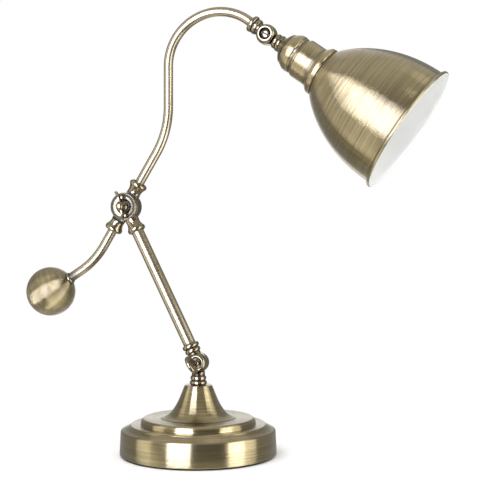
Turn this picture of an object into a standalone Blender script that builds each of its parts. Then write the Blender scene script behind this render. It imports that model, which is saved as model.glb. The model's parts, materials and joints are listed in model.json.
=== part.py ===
"""Swing arm desk lamp in antique brass: a stepped round base, a leaning lower arm, a lever with a ball
counterweight and a curved upper arm, and a bell shade. Lengths are in millimetres, angles in degrees.

The arms move in the plane y = 0. Every hinge axis runs along Y, and the front of the lamp is -Y.
The origin is at the middle of the base, on the surface that the lamp stands on.
"""
import math

import bmesh
import bpy
from mathutils import Matrix, Vector

MM = 0.001
GAP = 0.3                       # running and seating clearance between two pieces

# Base -------------------------------------------------------------------------------------------
FELT_THICKNESS = 1.5
FELT_INSET = 2.2                # felt edge inside the shell edge
BASE_RADIUS = 78.1              # widest, at the foot of the wall
BASE_WALL_HEIGHT = 23.6         # floor to where the wall starts to round over
BASE_WALL_DRAFT = 1.0           # how much the wall leans in over its height
BASE_EDGE_ROUND = 2.6
SHOULDER_RISE = 2.9             # slope between the wall and the middle step
MIDDLE_STEP_RADIUS = 68.4
MIDDLE_STEP_HEIGHT = 30.9
MIDDLE_STEP_ROUND = 2.0
TOP_STEP_RADIUS = 57.1
TOP_STEP_HEIGHT = 37.1
TOP_STEP_ROUND = 3.8
SHELL_WALL = 1.2

CONE_FOOT_RADIUS = 37.3
CONE_TOP_RADIUS = 13.9
CONE_HEIGHT = 31.9
CONE_WALL = 1.2

NIPPLE_RADIUS = 4.9
NIPPLE_BORE = 3.3
NIPPLE_FOOT = 4.5               # height of its lower end above the table
NIPPLE_TO_HINGE = 12.9          # its upper end stays this far below the knuckle hinge
NUT_ACROSS_CORNERS = 17.0
NUT_THICKNESS = 5.0
WASHER_RADIUS = 9.4
WASHER_THICKNESS = 1.2
WEIGHT_BOSS_RADIUS = 20.0
WEIGHT_POCKET_RADIUS = 10.5

GLAND_HEIGHT = 10.5             # centre of the cord hole above the table
GLAND_BORE = 3.2
GLAND_NECK_RADIUS = 4.4
GLAND_FLANGE_RADIUS = 6.2
GLAND_FLANGE = 2.0
CHANNEL_WIDTH = 13.0
CHANNEL_HEIGHT = 12.4

# Ball knuckles ----------------------------------------------------------------------------------
KNUCKLE_RADIUS = 10.0
KNUCKLE_DEPTH = 9.0             # hinge plane to the outer face of one half
KNUCKLE_BAND = 2.6              # straight part of the half before it domes
KNUCKLE_WASHER = 0.5
RECESS_RADIUS = 6.4
RECESS_FLOOR = 4.6              # hinge plane to the bottom of the screw recess
SCREW_RADIUS = 1.9
NECK_RADIUS = 6.6
SPIGOT_RADIUS = 5.0
SPIGOT_BORE = 3.2
SPIGOT_LENGTH = 9.0
BENT_SPIGOT_LENGTH = 5.0        # shorter, because the slim tube bends just behind it

BASE_PIVOT_HEIGHT = 91.5
BASE_RING_RADIUS = 8.6          # lower, wider ring of the neck
BASE_BEAD_RADIUS = 7.9          # ring above it
BASE_RING_WIDTH = 4.2
BASE_BEAD_WIDTH = 4.0
ARM_BEAD_AT = 13.1              # distance of each ring from the hinge
ARM_BEAD_RADIUS = 8.0
ARM_BEAD_WIDTH = 3.9
ARM_RING_AT = 17.9
ARM_RING_RADIUS = 8.7
ARM_RING_WIDTH = 4.3
HOLDER_BEAD_AT = 12.1
HOLDER_BEAD_RADIUS = 7.7
HOLDER_BEAD_WIDTH = 3.5
HOLDER_RING_AT = 16.3
HOLDER_RING_RADIUS = 8.4
HOLDER_RING_WIDTH = 3.9

PADDLE_RADIUS = 9.4
PADDLE_THICKNESS = 3.8
PADDLE_REACH = 22.0             # hinge plane to the middle of the paddle
PADDLE_TURN = -32.0
THUMB_COLLAR_RADIUS = 3.3
SCREW_HEAD_RADIUS = 4.6
SCREW_HEAD_HEIGHT = 2.6
SCREW_SLOT = 1.1

# Lower arm and lever hub ------------------------------------------------------------------------
LOWER_ARM_LENGTH = 174.0        # hinge to hinge
LOWER_ARM_LEAN = 26.35          # from upright, towards the counterweight
LOWER_TUBE_RADIUS = 6.35
TUBE_WALL = 1.05

HUB_RADIUS = 14.1
HUB_SPLIT = 3.2                 # the two discs meet this far in front of the arm plane
HUB_FRONT = 8.3
HUB_REAR = 8.4
HUB_BEVEL = 1.1
HUB_CLEARANCE = 1.5             # between a disc's edge and the other disc's sockets
BOWL_RADIUS = 10.3
BOWL_DEPTH = 1.5
POCKET_RADIUS = 7.1
POCKET_FLOOR = 5.2
BOLT_RADIUS = 2.0
BOLT_HEAD_RADIUS = 5.6
BOLT_HEAD_HEIGHT = 1.6

FERRULE_WAIST_RADIUS = 6.75
FERRULE_WAIST_AT = 18.5
FERRULE_LIP_RADIUS = 9.2
FERRULE_LIP_AT = 25.5
FERRULE_LIP_ROUND = 2.6
FERRULE_MOUTH_RADIUS = 7.5
FERRULE_SEAT = 21.8             # distance from the hinge at which the lower tube stops
FERRULE_SOCKET = 16.0           # and at which the slim tube stops

WING_NUT_BASE_RADIUS = 5.2
WING_NUT_SHANK_RADIUS = 3.4
WING_NUT_DOME_RADIUS = 4.2
WING_NUT_REACH = 17.6           # arm plane to the middle of the dome
WING_SPAN = 15.4
WING_THICKNESS = 2.6
WING_TURN = -13.0

# Lever: upper arm and counterweight -------------------------------------------------------------
LEVER_LEAN = 31.3               # from upright, towards the shade
SLIM_TUBE_RADIUS = 4.7
UPPER_RUN = 62.5                # straight part, from the hinge
SWEEP_RADIUS = 90.0             # bend that brings the arm upright
RISER_LENGTH = 40.5
ARCH_RADIUS = 52.0
NOSE_DROP = 38.9                # the arm ends this far below level
NOSE_RUN = 22.5                 # straight part, to the shade hinge

ROD_RUN = 46.0
ROD_BEND_RADIUS = 80.0
ROD_END_LEAN = 57.5
ROD_TAIL = 40.7                 # end of the bend to the middle of the ball
BALL_RADIUS = 25.2
BALL_SOCKET_DEPTH = 14.0
COLLAR_RADIUS = 6.7
COLLAR_LENGTH = 3.2

# Lampholder and shade, measured along the shade axis from the shade hinge ------------------------
SHADE_DROP = 35.3               # axis below level
CAP_FOOT_RADIUS = 8.8
CAP_RADIUS = 15.3
CAP_LENGTH = 6.7
HOLDER_WALL = 1.0
UPPER_SHELL_RADIUS = 19.25
UPPER_SHELL_LENGTH = 14.2
UPPER_SHELL_SHOULDER = 7.6
LOWER_SHELL_RADIUS = 20.15
LOWER_SHELL_LENGTH = 20.6
LOWER_SHELL_TAIL = 4.4          # sleeve that slides into the upper shell
SHADE_RING_RADIUS = 24.9
SHADE_RING_LENGTH = 8.1
SHADE_WALL = 0.9
SHADE_NECK_RADIUS = 24.6
SHADE_MOUTH_RADIUS = 61.4
SHADE_LENGTH = 94.5             # neck to bead
SHADE_BELLY = 2.2               # roundness of the bell, 2 is an ellipse
SHADE_SHOULDER = 0.88
SHADE_BEAD = 1.75
SHADE_BEAD_OUT = 1.5            # bead centre outside the mouth wall
SOCKET_RADIUS = 16.8
SOCKET_BORE = 13.7
SOCKET_DEPTH = 34.0
SOCKET_PROUD = 6.5              # how far it stands into the shade
THREAD_WALL = 0.5
THREAD_RIDGES = 3
THREAD_DEPTH = 0.45
CONTACT_RADIUS = 4.6
RETAINER_RADIUS = 22.4
RETAINER_LENGTH = 4.6

# Material table: colour, roughness, metallic ----------------------------------------------------
BRASS = ("antique_brass", (0.42, 0.35, 0.19), 0.32, 1.0)
CAST_BRASS = ("cast_brass", (0.38, 0.31, 0.17), 0.22, 1.0)
STEEL = ("zinc_steel", (0.55, 0.55, 0.54), 0.35, 1.0)
IRON = ("cast_iron", (0.08, 0.08, 0.08), 0.7, 0.6)
FELT = ("felt", (0.03, 0.03, 0.03), 0.95, 0.0)
FIBRE = ("fibre", (0.10, 0.07, 0.05), 0.8, 0.0)
RUBBER = ("rubber", (0.04, 0.035, 0.03), 0.7, 0.0)
PORCELAIN = ("porcelain", (0.86, 0.85, 0.80), 0.25, 0.0)

UP = Vector((0, 0, 1))
FRONT = Vector((0, -1, 0))
REAR = Vector((0, 1, 0))


# Scene ------------------------------------------------------------------------------------------
def clear_scene():
    for obj in list(bpy.data.objects):
        bpy.data.objects.remove(obj, do_unlink=True)
    lamp = bpy.data.collections.new("swing_arm_desk_lamp")
    cutters = bpy.data.collections.new("cutters")
    for group in (lamp, cutters):
        bpy.context.scene.collection.children.link(group)
    return lamp, cutters


LAMP, CUTTERS = clear_scene()


def material(spec):
    name, colour, roughness, metallic = spec
    made = bpy.data.materials.get(name)
    if made is None:
        made = bpy.data.materials.new(name)
        made.use_nodes = True
        shader = made.node_tree.nodes["Principled BSDF"]
        shader.inputs["Base Color"].default_value = (*colour, 1.0)
        shader.inputs["Roughness"].default_value = roughness
        shader.inputs["Metallic"].default_value = metallic
    return made


def lean(angle):
    """Direction in the arm plane, `angle` degrees from upright towards +X."""
    return Vector((math.sin(math.radians(angle)), 0.0, math.cos(math.radians(angle))))


def frame(centre, axis):
    """Matrix that puts local Z on `axis` with its origin at `centre` (millimetres)."""
    turn = Vector(axis).to_track_quat("Z", "Y").to_matrix().to_4x4()
    return Matrix.Translation(Vector(centre) * MM) @ turn


def add(name, mesh, spec=None, place=None, parent=None):
    """New object: a piece of the lamp where it has a material, otherwise a cutter."""
    obj = bpy.data.objects.new(name, mesh)
    (LAMP if spec else CUTTERS).objects.link(obj)
    if spec:
        obj.data.materials.append(material(spec))
    else:
        obj.hide_render = True
        obj.display_type = "WIRE"
    if parent:
        obj.parent = parent
        obj.matrix_parent_inverse = parent.matrix_world.inverted()
    obj.matrix_world = place if place else Matrix.Identity(4)
    bpy.context.view_layer.update()
    return obj


def pivot(name, centre, parent=None):
    """Empty on a joint's axis, which the moving pieces are parented to."""
    obj = bpy.data.objects.new(name, None)
    LAMP.objects.link(obj)
    if parent:
        obj.parent = parent
        obj.matrix_parent_inverse = parent.matrix_world.inverted()
    obj.matrix_world = Matrix.Translation(Vector(centre) * MM)
    bpy.context.view_layer.update()
    return obj


# Shapes -----------------------------------------------------------------------------------------
def arc(centre, radius, start, end, count=5):
    """Points (r, z) on a circle in a turned profile, angles from +r towards +z."""
    angles = [start + (end - start) * i / max(count - 1, 1) for i in range(count)]
    return [(centre[0] + radius * math.cos(math.radians(a)),
             centre[1] + radius * math.sin(math.radians(a))) for a in angles]


def bead(at, half_width, crest, root, count=4):
    """Points of a rounded ring on a turned profile, crest radius at height `at`."""
    points = []
    for i in range(count):
        a = math.pi * i / (count - 1)
        points.append((root + (crest - root) * math.sin(a) ** 0.7, at - half_width * math.cos(a)))
    return points


def turned(name, profile, steps=32, spec=None, place=None, parent=None, smooth=35.0):
    """Solid of revolution about local Z from an (r, z) outline, closed off-axis or axis to axis."""
    points = [Vector((r * MM, 0.0, z * MM)) for r, z in profile]
    closed = min(points[0].x, points[-1].x) > 1e-6
    area = sum(a.x * b.z - b.x * a.z for a, b in zip(points, points[1:] + points[:1]))
    if area > 0:
        points.reverse()
    mesh = bpy.data.meshes.new(name)
    edges = [(i, i + 1) for i in range(len(points) - 1)]
    if closed:
        edges.append((len(points) - 1, 0))
    mesh.from_pydata(points, edges, [])
    obj = add(name, mesh, spec, place, parent)
    screw = obj.modifiers.new("turn", "SCREW")
    screw.steps = screw.render_steps = steps
    screw.use_merge_vertices = True
    screw.merge_threshold = 0.00001
    screw.use_smooth_shade = True
    obj["smooth_angle"] = smooth
    return obj


def prism(name, sides, radius, low, high, place=None, spec=None, parent=None, turn=0.0):
    """Straight prism or cylinder about local Z between two heights."""
    mesh = bpy.data.meshes.new(name)
    bm = bmesh.new()
    bmesh.ops.create_cone(bm, cap_ends=True, segments=sides, radius1=radius * MM, radius2=radius * MM,
                          depth=(high - low) * MM)
    bmesh.ops.rotate(bm, verts=bm.verts, matrix=Matrix.Rotation(math.radians(turn), 3, "Z"))
    bmesh.ops.translate(bm, verts=bm.verts, vec=(0, 0, (low + high) / 2 * MM))
    bm.to_mesh(mesh)
    bm.free()
    return add(name, mesh, spec, place, parent)


def block(name, low, high, place=None):
    """Box cutter between two corners, in millimetres."""
    mesh = bpy.data.meshes.new(name)
    bm = bmesh.new()
    size = Vector(high) - Vector(low)
    bmesh.ops.create_cube(bm, size=1.0)
    bmesh.ops.scale(bm, verts=bm.verts, vec=size * MM)
    bmesh.ops.translate(bm, verts=bm.verts, vec=(Vector(low) + size / 2) * MM)
    bm.to_mesh(mesh)
    bm.free()
    return add(name, mesh, None, place)


def boolean(obj, other, operation):
    step = obj.modifiers.new(f"{operation.lower()}_{other.name}", "BOOLEAN")
    step.operation = operation
    step.solver = "EXACT"
    step.object = other
    return obj


def tube(name, path, radius, sides=12, bore=0.0, spec=None, parent=None):
    """Round tube along points in the arm plane, cut through by its bore."""
    solids = []
    runs = [(name + "_skin", path, radius)]
    if bore:
        over = (path[0] - path[1]).normalized(), (path[-1] - path[-2]).normalized()
        longer = [path[0] + over[0]] + path[1:-1] + [path[-1] + over[1]]
        runs.append((name + "_bore", longer, bore))
    for label, points, size in runs:
        curve = bpy.data.curves.new(label, "CURVE")
        curve.dimensions = "3D"
        curve.bevel_depth = size * MM
        curve.bevel_resolution = sides // 2 - 2
        curve.use_fill_caps = True
        line = curve.splines.new("POLY")
        line.points.add(len(points) - 1)
        for spot, point in zip(line.points, points):
            spot.co = (*(point * MM), 1.0)
        rough = bpy.data.objects.new(label + "_curve", curve)
        CUTTERS.objects.link(rough)
        bpy.context.view_layer.update()
        evaluated = rough.evaluated_get(bpy.context.evaluated_depsgraph_get())
        mesh = bpy.data.meshes.new_from_object(evaluated)
        world = rough.matrix_world.copy()
        bpy.data.objects.remove(rough)
        bm = bmesh.new()
        bm.from_mesh(mesh)
        bmesh.ops.remove_doubles(bm, verts=bm.verts, dist=0.00001)
        bmesh.ops.recalc_face_normals(bm, faces=bm.faces)
        bm.to_mesh(mesh)
        bm.free()
        mesh.materials.clear()
        is_piece = label == runs[0][0]
        solids.append(add(name if is_piece else label, mesh, spec if is_piece else None, world,
                          parent if is_piece else None))
    if bore:
        boolean(solids[0], solids[1], "DIFFERENCE")
    return solids[0]


def flat_plate(name, outline, thickness, place):
    """Plate from a flat outline, its thickness centred on local Z = 0."""
    curve = bpy.data.curves.new(name, "CURVE")
    curve.dimensions = "2D"
    curve.fill_mode = "BOTH"
    curve.extrude = thickness / 2 * MM
    line = curve.splines.new("POLY")
    line.points.add(len(outline) - 1)
    for spot, (x, y) in zip(line.points, outline):
        spot.co = (x * MM, y * MM, 0.0, 1.0)
    line.use_cyclic_u = True
    rough = bpy.data.objects.new(name + "_curve", curve)
    CUTTERS.objects.link(rough)
    rough.matrix_world = place
    bpy.context.view_layer.update()
    evaluated = rough.evaluated_get(bpy.context.evaluated_depsgraph_get())
    mesh = bpy.data.meshes.new_from_object(evaluated)
    bm = bmesh.new()
    bm.from_mesh(mesh)
    bmesh.ops.remove_doubles(bm, verts=bm.verts, dist=0.00001)
    bmesh.ops.recalc_face_normals(bm, faces=bm.faces)
    bm.to_mesh(mesh)
    bm.free()
    bpy.data.objects.remove(rough)
    return add(name, mesh, None, place)


def bend(start, heading, radius, turn, count):
    """Points after `start` on an arc in the arm plane; positive turn bends towards +X."""
    side = 1.0 if turn > 0 else -1.0
    centre = start + side * radius * lean(heading + 90.0)
    points = []
    for i in range(1, count + 1):
        a = heading + turn * i / count
        points.append(centre - side * radius * lean(a + 90.0))
    return points


# Places that everything else follows ------------------------------------------------------------
BASE_PIVOT = Vector((0, 0, BASE_PIVOT_HEIGHT))
LOWER_AXIS = lean(-LOWER_ARM_LEAN)
LEVER_PIVOT = BASE_PIVOT + LOWER_ARM_LENGTH * LOWER_AXIS
LEVER_AXIS = lean(LEVER_LEAN)

RUN_END = LEVER_PIVOT + UPPER_RUN * LEVER_AXIS
SWEEP = bend(RUN_END, LEVER_LEAN, SWEEP_RADIUS, -LEVER_LEAN, 4)
RISER_END = SWEEP[-1] + RISER_LENGTH * UP
ARCH = bend(RISER_END, 0.0, ARCH_RADIUS, 90.0 + NOSE_DROP, 11)
NOSE_AXIS = lean(90.0 + NOSE_DROP)
SHADE_PIVOT = ARCH[-1] + NOSE_RUN * NOSE_AXIS
SHADE_AXIS = lean(90.0 + SHADE_DROP)

ROD_BEND_START = LEVER_PIVOT - ROD_RUN * LEVER_AXIS
ROD_BEND = bend(ROD_BEND_START, LEVER_LEAN + 180.0, ROD_BEND_RADIUS, ROD_END_LEAN - LEVER_LEAN, 4)
TAIL_AXIS = -lean(ROD_END_LEAN)
BALL_CENTRE = ROD_BEND[-1] + ROD_TAIL * TAIL_AXIS

ARM_RING_FACE = ARM_RING_AT + ARM_RING_WIDTH / 2      # where a tube butts on a knuckle's ring
HOLDER_RING_FACE = HOLDER_RING_AT + HOLDER_RING_WIDTH / 2
HOLE_CLEARANCE = GAP
MATING_FACE = KNUCKLE_WASHER / 2 + GAP                # of each knuckle half, from the hinge plane


# Base -------------------------------------------------------------------------------------------
def base_outline(inset, fine=4):
    """Shell surface from the foot of the wall up to the flat top, moved inwards by `inset`."""
    foot = FELT_THICKNESS + GAP
    wall_top = BASE_RADIUS - BASE_WALL_DRAFT
    edge = (wall_top - BASE_EDGE_ROUND, BASE_WALL_HEIGHT)
    slope_top = edge[1] + BASE_EDGE_ROUND + SHOULDER_RISE
    middle = (MIDDLE_STEP_RADIUS - MIDDLE_STEP_ROUND, MIDDLE_STEP_HEIGHT - MIDDLE_STEP_ROUND)
    top = (TOP_STEP_RADIUS - TOP_STEP_ROUND, TOP_STEP_HEIGHT - TOP_STEP_ROUND)
    points = [(BASE_RADIUS - 0.5 - inset, foot), (BASE_RADIUS - inset, foot + 0.8)]
    points += arc(edge, BASE_EDGE_ROUND - inset, 0, 72, fine)
    points += [(MIDDLE_STEP_RADIUS - inset + 0.4, slope_top - inset)]
    points += arc(middle, MIDDLE_STEP_ROUND - inset, 25, 90, fine - 1)
    points += [(TOP_STEP_RADIUS - inset + 0.3, MIDDLE_STEP_HEIGHT - inset)]
    points += arc(top, TOP_STEP_ROUND - inset, 0, 90, fine)
    return points


def shell_radius(height):
    """Outer radius of the wall at a height."""
    share = (height - FELT_THICKNESS) / (BASE_WALL_HEIGHT - FELT_THICKNESS)
    return BASE_RADIUS - BASE_WALL_DRAFT * min(max(share, 0.0), 1.0)


def cone_outline(inset, count=8):
    """Trumpet curve from the top rim down to the foot, moved inwards by `inset`."""
    foot = TOP_STEP_HEIGHT + GAP
    flare = CONE_FOOT_RADIUS - CONE_TOP_RADIUS
    points = []
    for i in range(count):
        t = 1.0 - (1.0 - i / (count - 1)) ** 1.6
        swell = 0.53 * t + 0.256 * t ** 4 + 0.214 * t ** 16
        points.append((CONE_TOP_RADIUS + flare * swell - inset, foot + (CONE_HEIGHT - 0.7) * (1.0 - t)))
    return points


def build_base():
    foot = FELT_THICKNESS + GAP
    floor = Matrix.Identity(4)
    turned("felt_pad", [(0, 0), (BASE_RADIUS - FELT_INSET, 0),
                        (BASE_RADIUS - FELT_INSET, FELT_THICKNESS), (0, FELT_THICKNESS)], 36, FELT, floor)

    hole = NIPPLE_RADIUS + HOLE_CLEARANCE
    skin = base_outline(0.0) + [(hole, TOP_STEP_HEIGHT), (hole, TOP_STEP_HEIGHT - SHELL_WALL)]
    shell = turned("base_shell", skin + base_outline(SHELL_WALL, 2)[::-1], 36, BRASS, floor)
    gland_seat = frame((0, 0, GLAND_HEIGHT), REAR)
    boolean(shell, prism("gland_hole", 16, GLAND_NECK_RADIUS + GAP, BASE_RADIUS / 2, BASE_RADIUS + 9,
                         gland_seat), "DIFFERENCE")

    pocket_top = NIPPLE_FOOT + 0.5 + NUT_THICKNESS + GAP + WASHER_THICKNESS + GAP
    weight_radius = BASE_RADIUS - BASE_WALL_DRAFT - SHELL_WALL - 2 * GAP
    shoulder = MIDDLE_STEP_RADIUS - SHELL_WALL - GAP - 1.0
    boss_top = TOP_STEP_HEIGHT - SHELL_WALL - GAP
    weight = turned("base_weight", [
        (WEIGHT_POCKET_RADIUS, foot), (weight_radius, foot), (weight_radius, BASE_WALL_HEIGHT - 2.0),
        (shoulder, BASE_WALL_HEIGHT + 1.0), (WEIGHT_BOSS_RADIUS, BASE_WALL_HEIGHT + 1.0),
        (WEIGHT_BOSS_RADIUS, boss_top), (hole, boss_top), (hole, pocket_top),
        (WEIGHT_POCKET_RADIUS, pocket_top)], 36, IRON, floor)
    half = CHANNEL_WIDTH / 2
    boolean(weight, block("cord_channel", (-half, WEIGHT_POCKET_RADIUS / 2, foot - 1),
                          (half, BASE_RADIUS + 5, foot + 2 + CHANNEL_HEIGHT)), "DIFFERENCE")

    rim = TOP_STEP_HEIGHT + GAP + CONE_HEIGHT
    outer = [(hole, rim), (CONE_TOP_RADIUS - 0.6, rim)] + cone_outline(0.0)
    inner = cone_outline(CONE_WALL, 5)[:0:-1] + [(CONE_TOP_RADIUS - CONE_WALL, rim - CONE_WALL),
                                             (hole, rim - CONE_WALL)]
    turned("base_cone", outer + inner, 28, BRASS, floor)

    collar_foot = rim + GAP
    nipple_top = BASE_PIVOT_HEIGHT - NIPPLE_TO_HINGE
    turned("base_nipple", [(NIPPLE_BORE, NIPPLE_FOOT), (NIPPLE_RADIUS, NIPPLE_FOOT),
                           (NIPPLE_RADIUS, nipple_top), (NIPPLE_BORE, nipple_top)], 16, STEEL, floor)
    nut_low = NIPPLE_FOOT + 0.5
    nut = prism("base_nut", 6, NUT_ACROSS_CORNERS / 2, nut_low, nut_low + NUT_THICKNESS, floor, STEEL)
    nut_hole = prism("base_nut_hole", 16, NIPPLE_RADIUS + GAP, nut_low - 1, nut_low + NUT_THICKNESS + 1)
    boolean(nut, nut_hole, "DIFFERENCE")
    washer_low = nut_low + NUT_THICKNESS + GAP
    turned("base_washer", [(hole, washer_low), (WASHER_RADIUS, washer_low),
                           (WASHER_RADIUS, washer_low + WASHER_THICKNESS),
                           (hole, washer_low + WASHER_THICKNESS)], 16, STEEL, floor)

    face = shell_radius(GLAND_HEIGHT) + GAP
    back = shell_radius(GLAND_HEIGHT) - SHELL_WALL - GAP - 0.6
    turned("cable_gland", [
        (GLAND_BORE, back - 3.0), (GLAND_NECK_RADIUS, back - 3.0), (GLAND_NECK_RADIUS + 1.0, back),
        (GLAND_NECK_RADIUS, back), (GLAND_NECK_RADIUS, face), (GLAND_FLANGE_RADIUS, face),
        (GLAND_FLANGE_RADIUS, face + GLAND_FLANGE - 0.7), (GLAND_FLANGE_RADIUS - 0.7, face + GLAND_FLANGE),
        (GLAND_BORE + 0.5, face + GLAND_FLANGE), (GLAND_BORE, face + GLAND_FLANGE - 0.5)],
        16, RUBBER, gland_seat)
    return collar_foot


# Ball knuckles ----------------------------------------------------------------------------------
def half_ball(name, centre, side, hole, spec=None, parent=None):
    """One half of a ball knuckle, with a recess for its screw in the outer face."""
    rim = RECESS_RADIUS + 1.0
    lift = KNUCKLE_DEPTH - KNUCKLE_BAND
    reach = KNUCKLE_RADIUS - rim
    dome = [(rim + reach * math.cos(math.radians(a)), KNUCKLE_BAND + lift * math.sin(math.radians(a)))
            for a in (90, 60, 30, 0)]
    outline = [(hole, RECESS_FLOOR), (RECESS_RADIUS - 0.8, RECESS_FLOOR), (RECESS_RADIUS, RECESS_FLOOR + 0.8),
               (RECESS_RADIUS + 0.1, KNUCKLE_DEPTH - 0.4)] + dome
    outline += [(KNUCKLE_RADIUS, MATING_FACE + 0.4), (KNUCKLE_RADIUS - 0.4, MATING_FACE), (hole, MATING_FACE)]
    return turned(name, outline, 18, spec, frame(centre, side), parent)


def knuckle(name, centre, side, axis, neck_profile, parent, hole):
    """Half ball with a turned neck, cut clear of the half that it turns against."""
    piece = half_ball(name, centre, side, hole, CAST_BRASS, parent)
    neck = turned(name + "_neck", neck_profile, 16, None, frame(centre, axis))
    boolean(neck, prism(name + "_clear", 24, KNUCKLE_RADIUS + 0.6, -KNUCKLE_RADIUS - 5, MATING_FACE + 0.2,
                        frame(centre, side)), "DIFFERENCE")
    boolean(neck, prism(name + "_pocket", 16, RECESS_RADIUS + 0.4, 0, KNUCKLE_RADIUS + 9,
                        frame(centre, side)), "DIFFERENCE")
    return boolean(piece, neck, "UNION")


def neck_with_rings(root, bead_ring, flange_ring, tail):
    """Neck outline outwards from the ball: bead, groove, wider ring, then what follows it."""
    groove = root + 0.3
    points = [(0, KNUCKLE_RADIUS * 0.35), (root, KNUCKLE_RADIUS * 0.35)]
    points += [(root, bead_ring[0] - bead_ring[2] / 2 - 0.3)]
    points += bead(bead_ring[0], bead_ring[2] / 2, bead_ring[1], groove)
    points += bead(flange_ring[0], flange_ring[2] / 2, flange_ring[1], groove)
    return points + tail


def build_base_knuckle(collar_foot):
    """Neck of the base with the rear half ball, screwed on the nipple."""
    ring_at = BASE_PIVOT_HEIGHT - collar_foot - BASE_RING_WIDTH / 2
    bead_at = ring_at - BASE_RING_WIDTH / 2 - BASE_BEAD_WIDTH / 2 - 0.5
    foot = BASE_PIVOT_HEIGHT - collar_foot
    bore = NIPPLE_RADIUS + GAP
    bore_end = NIPPLE_TO_HINGE - GAP
    tail = [(BASE_RING_RADIUS - 0.9, foot), (bore, foot), (bore, bore_end), (0, bore_end)]
    profile = neck_with_rings(NECK_RADIUS, (bead_at, BASE_BEAD_RADIUS, BASE_BEAD_WIDTH),
                              (ring_at, BASE_RING_RADIUS, BASE_RING_WIDTH - 0.2), tail)
    knuckle("base_knuckle", BASE_PIVOT, REAR, -UP, profile, None, SCREW_RADIUS + GAP)
    knuckle_washer("base_knuckle_washer", BASE_PIVOT, None)


def knuckle_washer(name, centre, parent):
    hole = SCREW_RADIUS + GAP
    turned(name, [(hole, -KNUCKLE_WASHER / 2), (KNUCKLE_RADIUS - 1.2, -KNUCKLE_WASHER / 2),
                  (KNUCKLE_RADIUS - 1.2, KNUCKLE_WASHER / 2), (hole, KNUCKLE_WASHER / 2)],
           20, FIBRE, frame(centre, FRONT), parent)


def arm_knuckle(name, centre, axis, parent):
    """Front half ball with two rings and the spigot that a tube slides over."""
    end = ARM_RING_FACE + SPIGOT_LENGTH
    tail = [(SPIGOT_RADIUS, ARM_RING_FACE), (SPIGOT_RADIUS, end), (SPIGOT_BORE, end),
            (SPIGOT_BORE, ARM_BEAD_AT), (0, ARM_BEAD_AT)]
    if name == "arm_end_knuckle":
        slim = SLIM_TUBE_RADIUS - TUBE_WALL - GAP
        end = ARM_RING_FACE + BENT_SPIGOT_LENGTH
        tail = [(slim, ARM_RING_FACE), (slim, end), (0, end)]
    profile = neck_with_rings(NECK_RADIUS, (ARM_BEAD_AT, ARM_BEAD_RADIUS, ARM_BEAD_WIDTH),
                              (ARM_RING_AT, ARM_RING_RADIUS, ARM_RING_WIDTH), tail)
    return knuckle(name, centre, FRONT, axis, profile, parent, SCREW_RADIUS + GAP)


def build_thumb_screw(parent):
    """Screw with a flat round paddle, which locks the lower arm."""
    collar_low = RECESS_FLOOR + GAP
    paddle_root = PADDLE_REACH - PADDLE_RADIUS * 0.8
    shaft = [(0, -KNUCKLE_DEPTH + 1.5), (SCREW_RADIUS, -KNUCKLE_DEPTH + 1.5), (SCREW_RADIUS, collar_low),
             (THUMB_COLLAR_RADIUS, collar_low), (THUMB_COLLAR_RADIUS, KNUCKLE_DEPTH + 1.0),
             (THUMB_COLLAR_RADIUS * 0.7, KNUCKLE_DEPTH + 2.0), (THUMB_COLLAR_RADIUS * 0.7, paddle_root),
             (0, paddle_root)]
    screw = turned("thumb_screw", shaft, 16, CAST_BRASS, frame(BASE_PIVOT, FRONT), parent)
    middle = BASE_PIVOT + PADDLE_REACH * FRONT
    half = PADDLE_THICKNESS / 2
    disc = turned("paddle", [(0, -half), (PADDLE_RADIUS - 1.0, -half), (PADDLE_RADIUS - 0.3, -half * 0.6),
                             (PADDLE_RADIUS, 0), (PADDLE_RADIUS - 0.3, half * 0.6),
                             (PADDLE_RADIUS - 1.0, half), (0, half)],
                  24, None, frame(middle, lean(PADDLE_TURN + 90.0)))
    return boolean(screw, disc, "UNION")


def build_slotted_screw(name, centre, parent):
    """Cheese head screw in the front recess of a knuckle."""
    low = RECESS_FLOOR + GAP
    top = low + SCREW_HEAD_HEIGHT
    screw = turned(name, [(0, -KNUCKLE_DEPTH + 1.5), (SCREW_RADIUS, -KNUCKLE_DEPTH + 1.5), (SCREW_RADIUS, low),
                          (SCREW_HEAD_RADIUS, low), (SCREW_HEAD_RADIUS, top - 0.7),
                          (SCREW_HEAD_RADIUS - 0.7, top - 0.1), (0, top)],
                   16, CAST_BRASS, frame(centre, FRONT), parent)
    place = frame(centre, FRONT) @ Matrix.Rotation(math.radians(-28.0), 4, "Z")
    slot = block(name + "_slot", (-SCREW_HEAD_RADIUS - 1, -SCREW_SLOT / 2, top - 1.3),
                 (SCREW_HEAD_RADIUS + 1, SCREW_SLOT / 2, top + 1), place)
    return boolean(screw, slot, "DIFFERENCE")


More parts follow.
